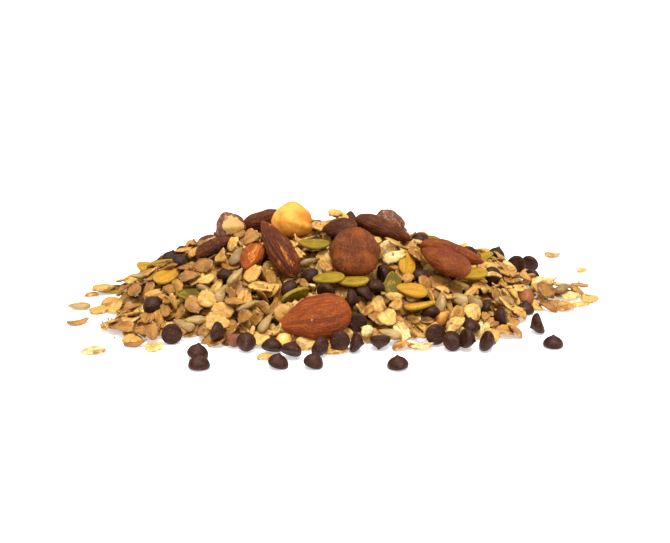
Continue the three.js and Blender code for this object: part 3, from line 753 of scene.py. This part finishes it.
class Nodes:
    """Short ways to add and join shader nodes in one tree."""

    def __init__(self, tree):
        self.tree = tree

    def add(self, kind, **settings):
        node = self.tree.nodes.new(kind)
        for key, value in settings.items():
            setattr(node, key, value)
        return node

    def join(self, output, socket):
        self.tree.links.new(output, socket)

    def put(self, socket, value):
        """Joins an output to a socket, or sets a plain value on it."""
        if hasattr(value, "is_output"):
            self.join(value, socket)
        else:
            socket.default_value = value

    def attribute(self, name, output="Fac"):
        return self.add("ShaderNodeAttribute", attribute_name=name).outputs[output]

    def noise(self, vector, scale, detail=3.0, rough=0.55):
        node = self.add("ShaderNodeTexNoise")
        self.put(node.inputs["Vector"], vector)
        self.put(node.inputs["Scale"], scale)
        node.inputs["Detail"].default_value = detail
        node.inputs["Roughness"].default_value = rough
        return node.outputs["Fac"]

    def stretch(self, vector, scale):
        node = self.add("ShaderNodeMapping")
        self.put(node.inputs["Vector"], vector)
        node.inputs["Scale"].default_value = scale
        return node.outputs["Vector"]

    def moved(self, vector, shift):
        node = self.add("ShaderNodeVectorMath", operation="ADD")
        self.join(vector, node.inputs[0])
        self.join(shift, node.inputs[1])
        return node.outputs[0]

    def math(self, operation, first, second=0.0, third=None, clamp=False):
        node = self.add("ShaderNodeMath", operation=operation, use_clamp=clamp)
        self.put(node.inputs[0], first)
        self.put(node.inputs[1], second)
        if third is not None:
            self.put(node.inputs[2], third)
        return node.outputs[0]

    def span(self, value, low, high, to_low=0.0, to_high=1.0):
        """A value taken from one range to another, smoothly, and kept inside it."""
        node = self.add("ShaderNodeMapRange", interpolation_type="SMOOTHSTEP")
        self.put(node.inputs["Value"], value)
        limits = zip(("From Min", "From Max", "To Min", "To Max"), (low, high, to_low, to_high))
        for name, number in limits:
            node.inputs[name].default_value = number
        return node.outputs["Result"]

    def ramp(self, value, stops):
        node = self.add("ShaderNodeValToRGB")
        self.put(node.inputs["Fac"], value)
        elements = node.color_ramp.elements
        while len(elements) < len(stops):
            elements.new(0.5)
        for element, (place, colour) in zip(elements, stops):
            element.position = place
            element.color = colour
        return node.outputs["Color"]

    def mix(self, share, first, second):
        node = self.add("ShaderNodeMix", data_type="RGBA")
        for number, value in ((0, share), (6, first), (7, second)):
            self.put(node.inputs[number], value)
        return node.outputs[2]

    def bump(self, height, strength, distance):
        node = self.add("ShaderNodeBump")
        node.inputs["Strength"].default_value = strength
        node.inputs["Distance"].default_value = distance
        self.put(node.inputs["Height"], height)
        return node.outputs["Normal"]


def effect(name, inputs, outputs):
    """A shader node group with named sockets, and short ways to its inside."""
    tree = bpy.data.node_groups.new(name, "ShaderNodeTree")
    for label, kind, value in inputs:
        socket = tree.interface.new_socket(label, in_out="INPUT", socket_type="NodeSocket" + kind)
        if value is not None:
            socket.default_value = value
    for label, kind in outputs:
        tree.interface.new_socket(label, in_out="OUTPUT", socket_type="NodeSocket" + kind)
    nodes = Nodes(tree)
    inside = nodes.add("NodeGroupInput").outputs
    result = nodes.add("NodeGroupOutput").inputs
    return tree, nodes, inside, result


def speckle_effect():
    """Small dark specks and pale dust over a surface, as masks."""
    tree, nodes, inside, result = effect(
        "specks and dust",
        [("Place", "Vector", None), ("Speck size", "Float", 0.8), ("Dust size", "Float", 0.5)],
        [("Specks", "Float"), ("Dust", "Float")],
    )
    specks = nodes.noise(inside["Place"], inside["Speck size"], 2.0)
    dust = nodes.noise(inside["Place"], inside["Dust size"], 5.0, 0.7)
    nodes.join(nodes.span(specks, 0.62, 0.72), result["Specks"])
    nodes.join(nodes.span(dust, 0.56, 0.7), result["Dust"])
    return tree


def fibre_effect():
    """Fibres that run along a piece's own length: a mask of streaks and their relief."""
    tree, nodes, inside, result = effect(
        "fibres along a piece",
        [("Place", "Vector", None), ("Shift", "Vector", None), ("Fineness", "Float", 1.0)],
        [("Streaks", "Float"), ("Relief", "Float")],
    )
    along = nodes.stretch(nodes.moved(inside["Place"], inside["Shift"]), (0.16, 1.5, 1.5))
    coarse = nodes.noise(along, inside["Fineness"], 3.0, 0.6)
    fine_scale = nodes.math("MULTIPLY", inside["Fineness"], 3.1)
    fine = nodes.noise(along, fine_scale, 2.0, 0.5)
    nodes.join(nodes.span(coarse, 0.35, 0.68), result["Streaks"])
    relief = nodes.math("MULTIPLY_ADD", fine, 0.45, coarse)
    nodes.join(relief, result["Relief"])
    return tree


SPECKS = speckle_effect()
FIBRES = fibre_effect()


class Finish(Nodes):
    """A material with one shader, fed by the pieces' own places and tones."""

    def __init__(self, name):
        self.material = bpy.data.materials.new(name)
        self.material.use_nodes = True
        super().__init__(self.material.node_tree)
        self.shader = self.tree.nodes["Principled BSDF"]
        self.place = self.attribute("own_place", "Vector")
        self.tone = self.attribute("tone")
        self.rim = self.attribute("rim")

    def own_shift(self):
        """A shift of the patterns that differs from piece to piece."""
        node = self.add("ShaderNodeCombineXYZ")
        for axis, stride in zip("XYZ", (97.0, 53.0, 71.0)):
            self.put(node.inputs[axis], self.math("MULTIPLY", self.tone, stride))
        return node.outputs["Vector"]

    def shifted(self):
        return self.moved(self.place, self.own_shift())

    def group(self, tree, **values):
        node = self.add("ShaderNodeGroup", node_tree=tree)
        for label, value in values.items():
            self.put(node.inputs[label.replace("_", " ")], value)
        return node.outputs

    def done(self, colour, roughness, normal, **plain):
        for label, value in (("Base Color", colour), ("Roughness", roughness), ("Normal", normal)):
            self.put(self.shader.inputs[label], value)
        for label, value in plain.items():
            self.shader.inputs[label.replace("_", " ")].default_value = value
        return self.material


def oat_finish():
    """Toasted oats: each flake its own tone, unevenly browned, with fibres, specks and a glaze, painted
    shade along the crease and painted highlight in pale patches at the rim.
    """
    f = Finish("toasted oats")
    place = f.shifted()
    raw = f.ramp(f.tone, (
        (0.0, shade(246, 220, 156)), (0.22, shade(232, 188, 98)), (0.5, shade(212, 162, 78)),
        (0.75, shade(174, 118, 44)), (1.0, shade(112, 64, 22)),
    ))
    pale_share = f.math("MULTIPLY_ADD", f.tone, -0.45, 1.0)
    patch = f.noise(place, 0.3, 3.0)
    gold = f.math("MULTIPLY", f.span(patch, 0.4, 0.62, 0.0, 0.75), pale_share)
    colour = f.mix(gold, raw, shade(192, 128, 32))
    toast = f.span(f.noise(place, 0.19, 2.0), 0.52, 0.66, 0.0, 0.75)
    colour = f.mix(toast, colour, shade(124, 68, 18))
    fibres = f.group(FIBRES, Place=f.place, Shift=f.own_shift(), Fineness=0.9)
    streaks = f.math("MULTIPLY", f.math("MULTIPLY", fibres["Streaks"], 0.3), pale_share)
    colour = f.mix(streaks, colour, shade(238, 208, 136))
    mottle = f.noise(place, 0.85, 5.0, 0.7)
    colour = f.mix(f.span(mottle, 0.5, 0.64, 0.0, 0.5), colour, shade(146, 94, 40))

    uneven = f.noise(place, 0.8, 2.0)
    near_rim = f.span(f.rim, 0.72, 1.0)
    burnt = f.math("MULTIPLY", near_rim, f.span(uneven, 0.44, 0.62))
    colour = f.mix(f.math("MULTIPLY", burnt, 0.6), colour, shade(136, 76, 26))
    # Painted highlight: pale patches along parts of the rim, more on paler flakes.
    painted_rim_highlight = f.math("MULTIPLY", near_rim, f.span(uneven, 0.36, 0.46, 1.0, 0.0))
    painted_rim_highlight = f.math("MULTIPLY", painted_rim_highlight, f.math("MULTIPLY", pale_share, 0.5))
    colour = f.mix(painted_rim_highlight, colour, shade(248, 224, 160))

    # Painted shade along the crease down the middle of each flake, away from its rim.
    side = f.add("ShaderNodeSeparateXYZ")
    f.join(f.place, side.inputs[0])
    off_crease = f.math("MULTIPLY_ADD", uneven, 0.9, f.math("ABSOLUTE", side.outputs["Y"]))
    inner = f.span(f.rim, 0.6, 0.95, 1.0, 0.0)
    crease_shade = f.math("MULTIPLY", f.span(off_crease, 0.3, 0.85, 1.0, 0.0), inner)
    colour = f.mix(f.math("MULTIPLY", crease_shade, 0.5), colour, shade(140, 82, 24))
    specks = f.group(SPECKS, Place=place, Speck_size=1.6, Dust_size=0.7)
    colour = f.mix(f.math("MULTIPLY", specks["Specks"], 0.4), colour, shade(112, 62, 24))

    relief = f.math("MULTIPLY_ADD", fibres["Relief"], 0.5, f.noise(place, 1.3, 4.0, 0.6))
    rough = f.span(patch, 0.3, 0.7, 0.4, 0.6)
    gloss = {"Specular_IOR_Level": 0.2, "Coat_Weight": 0.12, "Coat_Roughness": 0.25}
    return f.done(colour, rough, f.bump(relief, 0.8, 0.0005), **gloss)


def kernel_finish():
    """Shelled sunflower seeds: grey beige with darker streaks along them."""
    f = Finish("sunflower kernel")
    fibres = f.group(FIBRES, Place=f.place, Shift=f.own_shift(), Fineness=1.1)
    base = f.ramp(f.tone, (
        (0.0, shade(194, 162, 98)), (0.5, shade(166, 132, 72)), (1.0, shade(134, 98, 48)),
    ))
    colour = f.mix(f.math("MULTIPLY", fibres["Streaks"], 0.5), base, shade(106, 80, 46))
    patch = f.noise(f.shifted(), 0.5)
    colour = f.mix(f.span(patch, 0.5, 0.68, 0.0, 0.5), colour, shade(212, 172, 98))
    return f.done(colour, f.span(patch, 0.3, 0.7, 0.4, 0.6), f.bump(fibres["Relief"], 0.6, 0.0005))


def pepita_finish():
    """Shelled pumpkin seeds: olive green to toasted gold, paler along the raised rim, partly the seed's
    own paler rim and partly painted highlight.
    """
    f = Finish("pumpkin seed")
    fibres = f.group(FIBRES, Place=f.place, Shift=f.own_shift(), Fineness=0.8)
    base = f.ramp(f.tone, (
        (0.0, shade(84, 72, 8)), (0.35, shade(114, 96, 14)), (0.65, shade(160, 130, 30)),
        (1.0, shade(192, 136, 34)),
    ))
    colour = f.mix(f.math("MULTIPLY", fibres["Streaks"], 0.45), base, shade(80, 64, 12))
    patch = f.noise(f.shifted(), 0.4, 4.0, 0.6)
    colour = f.mix(f.span(patch, 0.52, 0.66, 0.0, 0.6), colour, shade(172, 126, 30))
    colour = f.mix(f.span(patch, 0.34, 0.46, 0.4, 0.0), colour, shade(70, 48, 10))
    # Paler along the raised rim: partly the seed's own colour, partly painted highlight.
    colour = f.mix(f.span(f.rim, 0.88, 0.97, 0.0, 0.4), colour, shade(184, 154, 56))
    return f.done(colour, 0.5, f.bump(fibres["Relief"], 0.5, 0.0005), Specular_IOR_Level=0.14)


def chocolate_finish():
    """Dark chocolate, satin, dulled by dust and small crumbs of oat."""
    f = Finish("dark chocolate")
    place = f.shifted()
    specks = f.group(SPECKS, Place=place, Speck_size=1.5, Dust_size=0.55)
    base = f.mix(f.span(f.noise(place, 0.5), 0.3, 0.7), shade(42, 19, 9), shade(62, 32, 18))
    dusty = f.mix(f.math("MULTIPLY", specks["Dust"], 0.2), base, shade(122, 86, 64))
    colour = f.mix(f.math("MULTIPLY", specks["Specks"], 0.35), dusty, shade(150, 112, 76))
    relief = f.math("MULTIPLY_ADD", f.noise(place, 2.4, 3.0), 0.5, f.noise(place, 0.7, 2.0))
    rough = f.math("MULTIPLY_ADD", specks["Dust"], 0.2, 0.5)
    return f.done(colour, rough, f.bump(relief, 0.45, 0.0005), Specular_IOR_Level=0.18)


def almond_finish(name, glint_share):
    """Almond skin: reddish brown, with painted shade in the furrows, dusty ridges, pale specks of dust
    and painted highlight, and golden streaks of painted glint.
    """
    f = Finish(name)
    fine = f.group(FIBRES, Place=f.place, Shift=f.own_shift(), Fineness=1.5)
    place = f.shifted()
    base = f.ramp(f.tone, (
        (0.0, shade(180, 84, 16)), (0.3, shade(150, 62, 10)), (0.6, shade(112, 44, 9)),
        (1.0, shade(70, 28, 9)),
    ))
    dark = f.mix(0.72, base, shade(44, 15, 6))
    light = f.mix(0.35, base, shade(206, 112, 26))
    patch = f.noise(place, 0.2)
    colour = f.mix(f.span(patch, 0.42, 0.68, 0.0, 0.8), base, light)
    mottle = f.noise(place, 0.5, 6.0, 0.75)
    colour = f.mix(f.span(mottle, 0.44, 0.6, 0.0, 0.5), colour, dark)
    colour = f.mix(f.math("MULTIPLY", fine["Streaks"], 0.4), colour, light)
    # Painted shade: darker in the furrows, by the furrow depth that the rim number carries.
    colour = f.mix(f.span(f.rim, 0.1, 0.9, 0.0, 0.7), colour, dark)
    # Painted glint: golden orange streaks along the fibres, as if the skin caught the light, on the
    # almonds chosen for it.
    rubbed = f.span(f.noise(f.stretch(place, (0.4, 1, 1)), 0.2, 2.0), 0.6, 0.66)
    painted_glint = f.math("MULTIPLY", rubbed, fine["Streaks"])
    colour = f.mix(f.math("MULTIPLY", painted_glint, glint_share), colour, shade(240, 146, 50))
    specks = f.group(SPECKS, Place=place, Speck_size=2.4, Dust_size=1.6)
    colour = f.mix(f.math("MULTIPLY", specks["Dust"], 0.2), colour, shade(196, 140, 96))
    # Pale specks, partly dust and partly painted tiny highlights.
    colour = f.mix(f.math("MULTIPLY", specks["Specks"], 0.22), colour, shade(226, 186, 150))
    relief = f.math("MULTIPLY_ADD", f.noise(place, 1.8, 3.0), 0.6, fine["Relief"])
    rough = f.span(patch, 0.3, 0.7, 0.38, 0.58)
    return f.done(colour, rough, f.bump(relief, 0.7, 0.0007), Specular_IOR_Level=0.18)


def hazelnut_finish():
    """Hazelnuts: papery brown skin with pale ribs, rubbed off to the kernel in patches."""
    f = Finish("hazelnut")
    upright = f.stretch(f.place, (1.0, 1.0, 0.22))
    ribs = f.noise(upright, 0.9, 3.0, 0.6)
    brown = f.mix(f.span(ribs, 0.46, 0.7), shade(104, 58, 36), shade(176, 122, 90))
    grain = f.noise(f.place, 1.4, 4.0)
    brown = f.mix(f.span(grain, 0.4, 0.6, 0.0, 0.4), brown, shade(58, 30, 20))
    kernel = f.mix(f.span(f.noise(f.place, 0.16), 0.4, 0.7), shade(244, 168, 64), shade(212, 124, 32))
    kernel = f.mix(f.span(f.tone, 0.4, 0.8, 0.85, 0.0), kernel, shade(192, 156, 88))
    covered = f.math("SUBTRACT", 1.0, f.tone)
    ragged = f.math("MULTIPLY_ADD", f.noise(f.place, 0.26, 4.0), 0.44, covered)
    bare = f.span(f.math("SUBTRACT", f.rim, ragged), -0.22, -0.2)
    colour = f.mix(bare, brown, kernel)
    relief = f.math("MULTIPLY_ADD", grain, 0.5, ribs)
    return f.done(colour, 0.48, f.bump(relief, 0.7, 0.0009), Specular_IOR_Level=0.3)


def nut_finish():
    """Broken nuts, from the blanched kernel's gold to toasted brown."""
    f = Finish("broken nut")
    place = f.shifted()
    base = f.ramp(f.tone, (
        (0.0, shade(240, 190, 104)), (0.4, shade(222, 154, 62)), (0.8, shade(150, 84, 36)),
        (1.0, shade(112, 58, 28)),
    ))
    patch = f.noise(place, 0.4)
    colour = f.mix(f.span(patch, 0.45, 0.7, 0.0, 0.5), base, shade(160, 96, 40))
    return f.done(colour, 0.5, f.bump(f.noise(place, 1.6), 0.4, 0.0006), Specular_IOR_Level=0.4)


def core_finish():
    """What little shows of the heap's inside: crumb painted dark, as the shade between the pieces."""
    f = Finish("heap core")
    place = f.add("ShaderNodeTexCoord").outputs["Object"]
    grain = f.noise(place, 420.0, 4.0)
    # Painted shade: two dark browns, darker than the oats that rest on the core.
    colour = f.mix(f.span(grain, 0.35, 0.65), shade(74, 44, 20), shade(132, 86, 40))
    return f.done(colour, 0.8, f.bump(grain, 0.8, 0.001))


# ------------------------------------------------------------------ scattering


def scatter_tree():
    """Puts a shape on every point, turned and picked as the point says, and gives it a tone."""
    tree = bpy.data.node_groups.new("lay loose pieces", "GeometryNodeTree")
    sockets = {}
    for label, kind, value in (
        ("Points", "Geometry", None), ("Shapes", "Collection", None), ("Finish", "Material", None),
        ("Piece size", "Float", 1.0), ("Size spread", "Float", 0.03), ("Tone drift", "Float", 0.8),
        ("Seed", "Int", 1),
    ):
        socket = tree.interface.new_socket(label, in_out="INPUT", socket_type="NodeSocket" + kind)
        if value is not None:
            socket.default_value = value
        sockets[label] = socket.identifier
    tree.interface.new_socket("Pieces", in_out="OUTPUT", socket_type="NodeSocketGeometry")
    nodes = Nodes(tree)
    inside = nodes.add("NodeGroupInput").outputs
    result = nodes.add("NodeGroupOutput").inputs

    def carried(name, kind):
        """What each point carries under a name."""
        node = nodes.add("GeometryNodeInputNamedAttribute", data_type=kind)
        node.inputs["Name"].default_value = name
        return node.outputs["Attribute"]

    shapes = nodes.add("GeometryNodeCollectionInfo")
    shapes.inputs["Separate Children"].default_value = True
    shapes.inputs["Reset Children"].default_value = True
    nodes.join(inside["Shapes"], shapes.inputs["Collection"])
    rotation = nodes.add("FunctionNodeEulerToRotation")
    nodes.join(carried("turn", "FLOAT_VECTOR"), rotation.inputs[0])

    toned = nodes.add("GeometryNodeStoreNamedAttribute", data_type="FLOAT", domain="POINT")
    toned.inputs["Name"].default_value = "tone"
    nodes.join(inside["Points"], toned.inputs["Geometry"])
    drift = nodes.noise(nodes.add("GeometryNodeInputPosition").outputs[0], 38.0, 1.0)
    drift = nodes.math("MULTIPLY", nodes.math("SUBTRACT", drift, 0.5), inside["Tone drift"])
    tone = nodes.math("ADD", carried("tone", "FLOAT"), drift, clamp=True)
    nodes.join(tone, toned.inputs["Value"])

    size = nodes.add("FunctionNodeRandomValue", data_type="FLOAT")
    for socket, side in ((2, "SUBTRACT"), (3, "ADD")):
        limit = nodes.math(side, inside["Piece size"], inside["Size spread"])
        nodes.join(limit, size.inputs[socket])
    nodes.join(inside["Seed"], size.inputs["Seed"])

    laid = nodes.add("GeometryNodeInstanceOnPoints")
    laid.inputs["Pick Instance"].default_value = True
    for label, value in (
        ("Points", toned.outputs["Geometry"]), ("Instance", shapes.outputs[0]),
        ("Instance Index", carried("pick", "INT")), ("Rotation", rotation.outputs[0]),
        ("Scale", size.outputs[1]),
    ):
        nodes.join(value, laid.inputs[label])
    real = nodes.add("GeometryNodeRealizeInstances")
    nodes.join(laid.outputs[0], real.inputs[0])
    finish = nodes.add("GeometryNodeSetMaterial")
    nodes.join(real.outputs[0], finish.inputs["Geometry"])
    nodes.join(inside["Finish"], finish.inputs["Material"])
    nodes.join(finish.outputs[0], result[0])
    return tree, sockets


SCATTER, SCATTER_INPUTS = scatter_tree()


def scattered(kind, finish, slot, seed):
    """All laid pieces of one kind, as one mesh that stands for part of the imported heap."""
    shelf = bpy.data.collections.new(kind.name + " shapes")
    bpy.context.scene.collection.children.link(shelf)
    for number, shape in enumerate(kind.shapes):
        mesh = shape_mesh(f"{kind.name}_{number:02d}", shape)
        shelf.objects.link(bpy.data.objects.new(mesh.name, mesh))
    points = bpy.data.meshes.new(kind.name + " points")
    points.from_pydata((np.array(kind.places) * MM).tolist(), [], [])
    for name, sort, field, numbers in (
        ("turn", "FLOAT_VECTOR", "vector", kind.turns), ("pick", "INT", "value", kind.picks),
        ("tone", "FLOAT", "value", kind.tones),
    ):
        carried = points.attributes.new(name, sort, "POINT")
        dtype = np.int32 if sort == "INT" else np.float32
        carried.data.foreach_set(field, np.array(numbers, dtype).ravel())
    holder = add_object(kind.name + " points", points)
    modifier = holder.modifiers.new("lay", "NODES")
    modifier.node_group = SCATTER
    for label, value in (("Shapes", shelf), ("Finish", finish), ("Seed", seed)):
        modifier[SCATTER_INPUTS[label]] = value
    view = bpy.context.evaluated_depsgraph_get()
    mesh = bpy.data.meshes.new_from_object(holder.evaluated_get(view), depsgraph=view)
    mesh.name = kind.name
    bpy.data.objects.remove(holder)
    for item in list(shelf.objects):
        bpy.data.objects.remove(item)
    bpy.data.collections.remove(shelf)
    settle(add_object(kind.name, mesh), slot, "heap")


# ------------------------------------------------------------------ building


def core_piece(bed, heights, material):
    """The heap's hidden core, its top following a grid of heights."""
    heights = heights[::CORE_STEP, ::CORE_STEP]
    rows, columns = heights.shape
    index = -np.ones((rows, columns, 2), int)
    points, faces = [], []
    solid = heights > CORE_LEAST
    for i in range(rows):
        for j in range(columns):
            if solid[max(0, i - 1):i + 2, max(0, j - 1):j + 2].any():
                x, y = bed.middle(i * CORE_STEP, j * CORE_STEP) * MM
                for layer, z in enumerate((0.0, max(heights[i, j], CORE_EDGE) * MM)):
                    index[i, j, layer] = len(points)
                    points.append((x, y, z))
    for i in range(rows - 1):
        for j in range(columns - 1):
            corners = index[i:i + 2, j:j + 2]
            if (corners >= 0).all():
                (a, b), (c, d) = corners
                faces.append((a[1], c[1], d[1], b[1]))
                faces.append((a[0], b[0], d[0], c[0]))
    edges = dict.fromkeys((face[k], face[(k + 1) % 4]) for face in faces for k in range(4))
    below = {index[i, j, 1]: index[i, j, 0] for i in range(rows) for j in range(columns)}
    for a, b in edges:
        if (b, a) not in edges and a in below and b in below:
            faces.append((b, a, below[a], below[b]))
    mesh = bpy.data.meshes.new("heap_core")
    mesh.from_pydata(points, [], faces)
    mesh.shade_smooth()
    settle(add_object("heap_core", mesh, material), "oat_mix", "heap")


def ready_bed():
    """The bed with its level, its core, and the nuts and strays that stand in it, and the slopes."""
    bed = Bed()
    nuts = {}
    for name in (*ALMONDS, *HAZELNUTS):
        bed.ceiling = np.fmin(bed.ceiling, bed.cast(name, from_above=False))
        nuts[name] = bed.cast(name)
    bed.level, *slopes = heap_surface(bed, bed.ceiling < FAR_UP)
    base = lowest(np.maximum(bed.level - CORE_DEPTH, 0), CORE_INSET)
    core_piece(bed, base - CORE_SUNK, core_finish())
    bed.height = np.maximum(bed.height, base)
    for tops in nuts.values():
        bed.solid = np.fmax(bed.solid, tops)
        bed.taken |= np.nan_to_num(tops) > bed.level + BARE
    for name in (*STRAY_DROPS, *STRAY_FLAKES, STRAY_PEPITA[0], STRAY_KERNEL[0]):
        tops = bed.cast(name)
        bed.solid = np.fmax(bed.solid, tops)
        bed.taken |= ~np.isnan(tops)
    return bed, slopes


def lay_heap(bed, slopes, rng):
    """Buries the pieces whose places are known, fills the bed with flakes, and strews crumbs."""
    def flakes(count, lengths, widths, **form):
        return [
            oat_flake(rng, rng.uniform(*lengths), rng.uniform(*widths), **form) for _ in range(count)
        ]

    whole = Kind("oat_flakes", flakes(22, (6.6, 10.8), (4.5, 7.2), split=0.25))
    broken = Kind("broken_flakes", flakes(14, (5.0, 7.8), (3.0, 4.8), ragged=0.09, split=0.4))
    slivers = Kind("oat_slivers", flakes(8, (7.0, 9.8), (2.0, 3.0), ragged=0.07))
    kernels = Kind("sunflower_kernels", [sunflower_kernel(rng) for _ in range(6)])
    pepitas = Kind("pumpkin_seeds", [pumpkin_seed(rng) for _ in range(5)])
    drops = Kind("chocolate_drops", [chocolate_drop(rng) for _ in range(6)])
    bits = Kind("nut_bits", [nut_bit(rng) for _ in range(6)])
    crumbs = Kind("crumbs", [crumb(rng) for _ in range(8)])

    zero = np.array(HEAP_ZERO)
    for kind, rows in ((whole, FLAKES), (bits, NUT_BITS)):
        for x, y, *turn, tone in rows:
            kind.bury(bed, *(zero + (x, y)), turned(*turn), rng, tone)
    for x, y, heading, lean in DROPS:
        drops.bury(bed, *(zero + (x, y)), leaned(heading, lean), rng)
    for kind, rows in ((pepitas, PEPITAS), (kernels, KERNELS)):
        for x, y, *turn in rows:
            kind.bury(bed, *(zero + (x, y)), turned(*turn[:3]), rng, *turn[3:])

    mix = ([whole, broken, slivers], [0.72, 0.16, 0.12])
    fill(bed, UNDERLAY, slopes, mix, rng, UNDER_OVERLAP)
    bed.height = np.maximum(bed.height, bed.solid)
    bed.ceiling[:] = FAR_UP
    fill(bed, 0.0, slopes, mix, rng, TOP_OVERLAP)
    spots = np.argwhere((bed.level > 0) & ~bed.taken)
    for _ in range(CRUMBS):
        x, y = bed.middle(*spots[rng.integers(len(spots))])
        turns = [turned(*rng.uniform(0, 360, 3))]
        crumbs.lay(bed, x, y, turns, rng, CRUMB_OVERLAP, CRUMB_FIRM)
    return whole, broken, slivers, crumbs, drops, pepitas, kernels, bits


def build():
    rng = np.random.default_rng(7)
    whole, broken, slivers, crumbs, drops, pepitas, kernels, bits = lay_heap(*ready_bed(), rng)
    oats, chocolate = oat_finish(), chocolate_finish()
    seed_skin, kernel_skin = pepita_finish(), kernel_finish()
    for kind, finish, slot, seed in (
        (whole, oats, "oat_mix", 5), (broken, oats, "oat_mix", 7), (slivers, oats, "oat_mix", 10),
        (crumbs, oats, "oat_mix", 13), (drops, chocolate, "chocolate", 15),
        (pepitas, seed_skin, "pumpkin_seed", 19), (kernels, kernel_skin, "sunflower_kernel", 21),
        (bits, nut_finish(), "hazelnut_kernel", 25),
    ):
        scattered(kind, finish, slot, seed)

    smooth_skin = almond_finish("almond skin", 0.0)
    # The standing and end-on almonds get golden orange painted glints.
    glinting_skin = almond_finish("worn almond skin", 0.85)
    for name, (size, turn, tone, furrows) in ALMONDS.items():
        point = ROUND_POINT if name == "almond_round" else ALMOND_POINT
        skin_finish = glinting_skin if name in GLINTING_ALMONDS else smooth_skin
        shape = almond(rng, size, point, furrows)
        place_in_node(name, shape, turned(*turn), skin_finish, "almond_skin", tone)
    hazel = hazelnut_finish()
    for name, (size, lean, tone, rubbed) in HAZELNUTS.items():
        slot = "hazelnut_kernel" if tone == 1.0 else "hazelnut_skin"
        turn = leaned(*lean)
        shape = hazelnut(rng, size, turn.T @ np.array(rubbed, float))
        place_in_node(name, shape, turn, hazel, slot, tone)
    for name, turn in STRAY_DROPS.items():
        shape = chocolate_drop(rng)
        place_in_node(name, shape, leaned(*turn), chocolate, "chocolate", rng.random())
    for name, (size, turn, tone) in STRAY_FLAKES.items():
        shape = oat_flake(rng, *size, ragged=0.03, split=0.1)
        place_in_node(name, shape, turned(*turn, 0), oats, "oat_flake", tone)
    name, turn, tone = STRAY_PEPITA
    place_in_node(name, pumpkin_seed(rng), turned(*turn, 0), seed_skin, "pumpkin_seed", tone)
    name, turn, tone = STRAY_KERNEL
    shape = sunflower_kernel(rng)
    place_in_node(name, shape, turned(*turn, 0), kernel_skin, "sunflower_kernel", tone)


# ------------------------------------------------------------------ table, light and camera


TABLE_HALF = 3.0  # m


def stage():
    mesh = bpy.data.meshes.new("table")
    corners = [(x * TABLE_HALF, y * TABLE_HALF, 0) for x, y in ((-1, -1), (1, -1), (1, 1), (-1, 1))]
    mesh.from_pydata(corners, [], [(0, 1, 2, 3)])
    material = bpy.data.materials.new("pale table")
    material.use_nodes = True
    shader = material.node_tree.nodes["Principled BSDF"]
    shader.inputs["Base Color"].default_value = (0.9, 0.9, 0.9, 1)
    shader.inputs["Roughness"].default_value = 0.7
    shader.inputs["Specular IOR Level"].default_value = 0.2
    shader.inputs["Emission Color"].default_value = (1, 1, 1, 1)
    shader.inputs["Emission Strength"].default_value = 0.4
    add_object("table", mesh, material)


def sun(name, way, strength, softness):
    """A distant lamp that shines along a direction. Its softness is its width in degrees."""
    data = bpy.data.lights.new(name, "SUN")
    data.energy = strength
    data.angle = math.radians(softness)
    lamp = bpy.data.objects.new(name, data)
    lamp.rotation_euler = Vector(way).to_track_quat("-Z", "Y").to_euler()
    bpy.context.scene.collection.objects.link(lamp)


def light():
    world = bpy.data.worlds.new("studio")
    world.use_nodes = True
    background = world.node_tree.nodes["Background"]
    background.inputs["Color"].default_value = (1, 1, 1, 1)
    background.inputs["Strength"].default_value = 0.34
    bpy.context.scene.world = world
    sun("key", (-0.04, 0.26, -1), 3.3, 24)
    sun("overhead softbox", (0.0, 0.3, -1), 2.0, 110)


CAMERA_FOCAL_PIXELS = 1250  # the photo's focal length for its width of 670 pixels
PHOTO_WIDTH = 670
CAMERA_HEIGHT = 160  # mm
CAMERA_AWAY = 436  # mm in front of the heap's crest
CAMERA_PITCH = 19  # degrees below level


def camera():
    data = bpy.data.cameras.new("photo view")
    data.sensor_width = 36
    data.lens = data.sensor_width * CAMERA_FOCAL_PIXELS / PHOTO_WIDTH
    data.clip_start = 0.01
    view = bpy.data.objects.new("photo view", data)
    view.location = (HEAP_ZERO[0] * MM, (HEAP_ZERO[1] - CAMERA_AWAY) * MM, CAMERA_HEIGHT * MM)
    view.rotation_euler = (math.radians(90 - CAMERA_PITCH), 0, 0)
    bpy.context.scene.collection.objects.link(view)
    bpy.context.scene.camera = view


build()
stage()
light()
camera()
bpy.context.scene.view_settings.view_transform = "Standard"
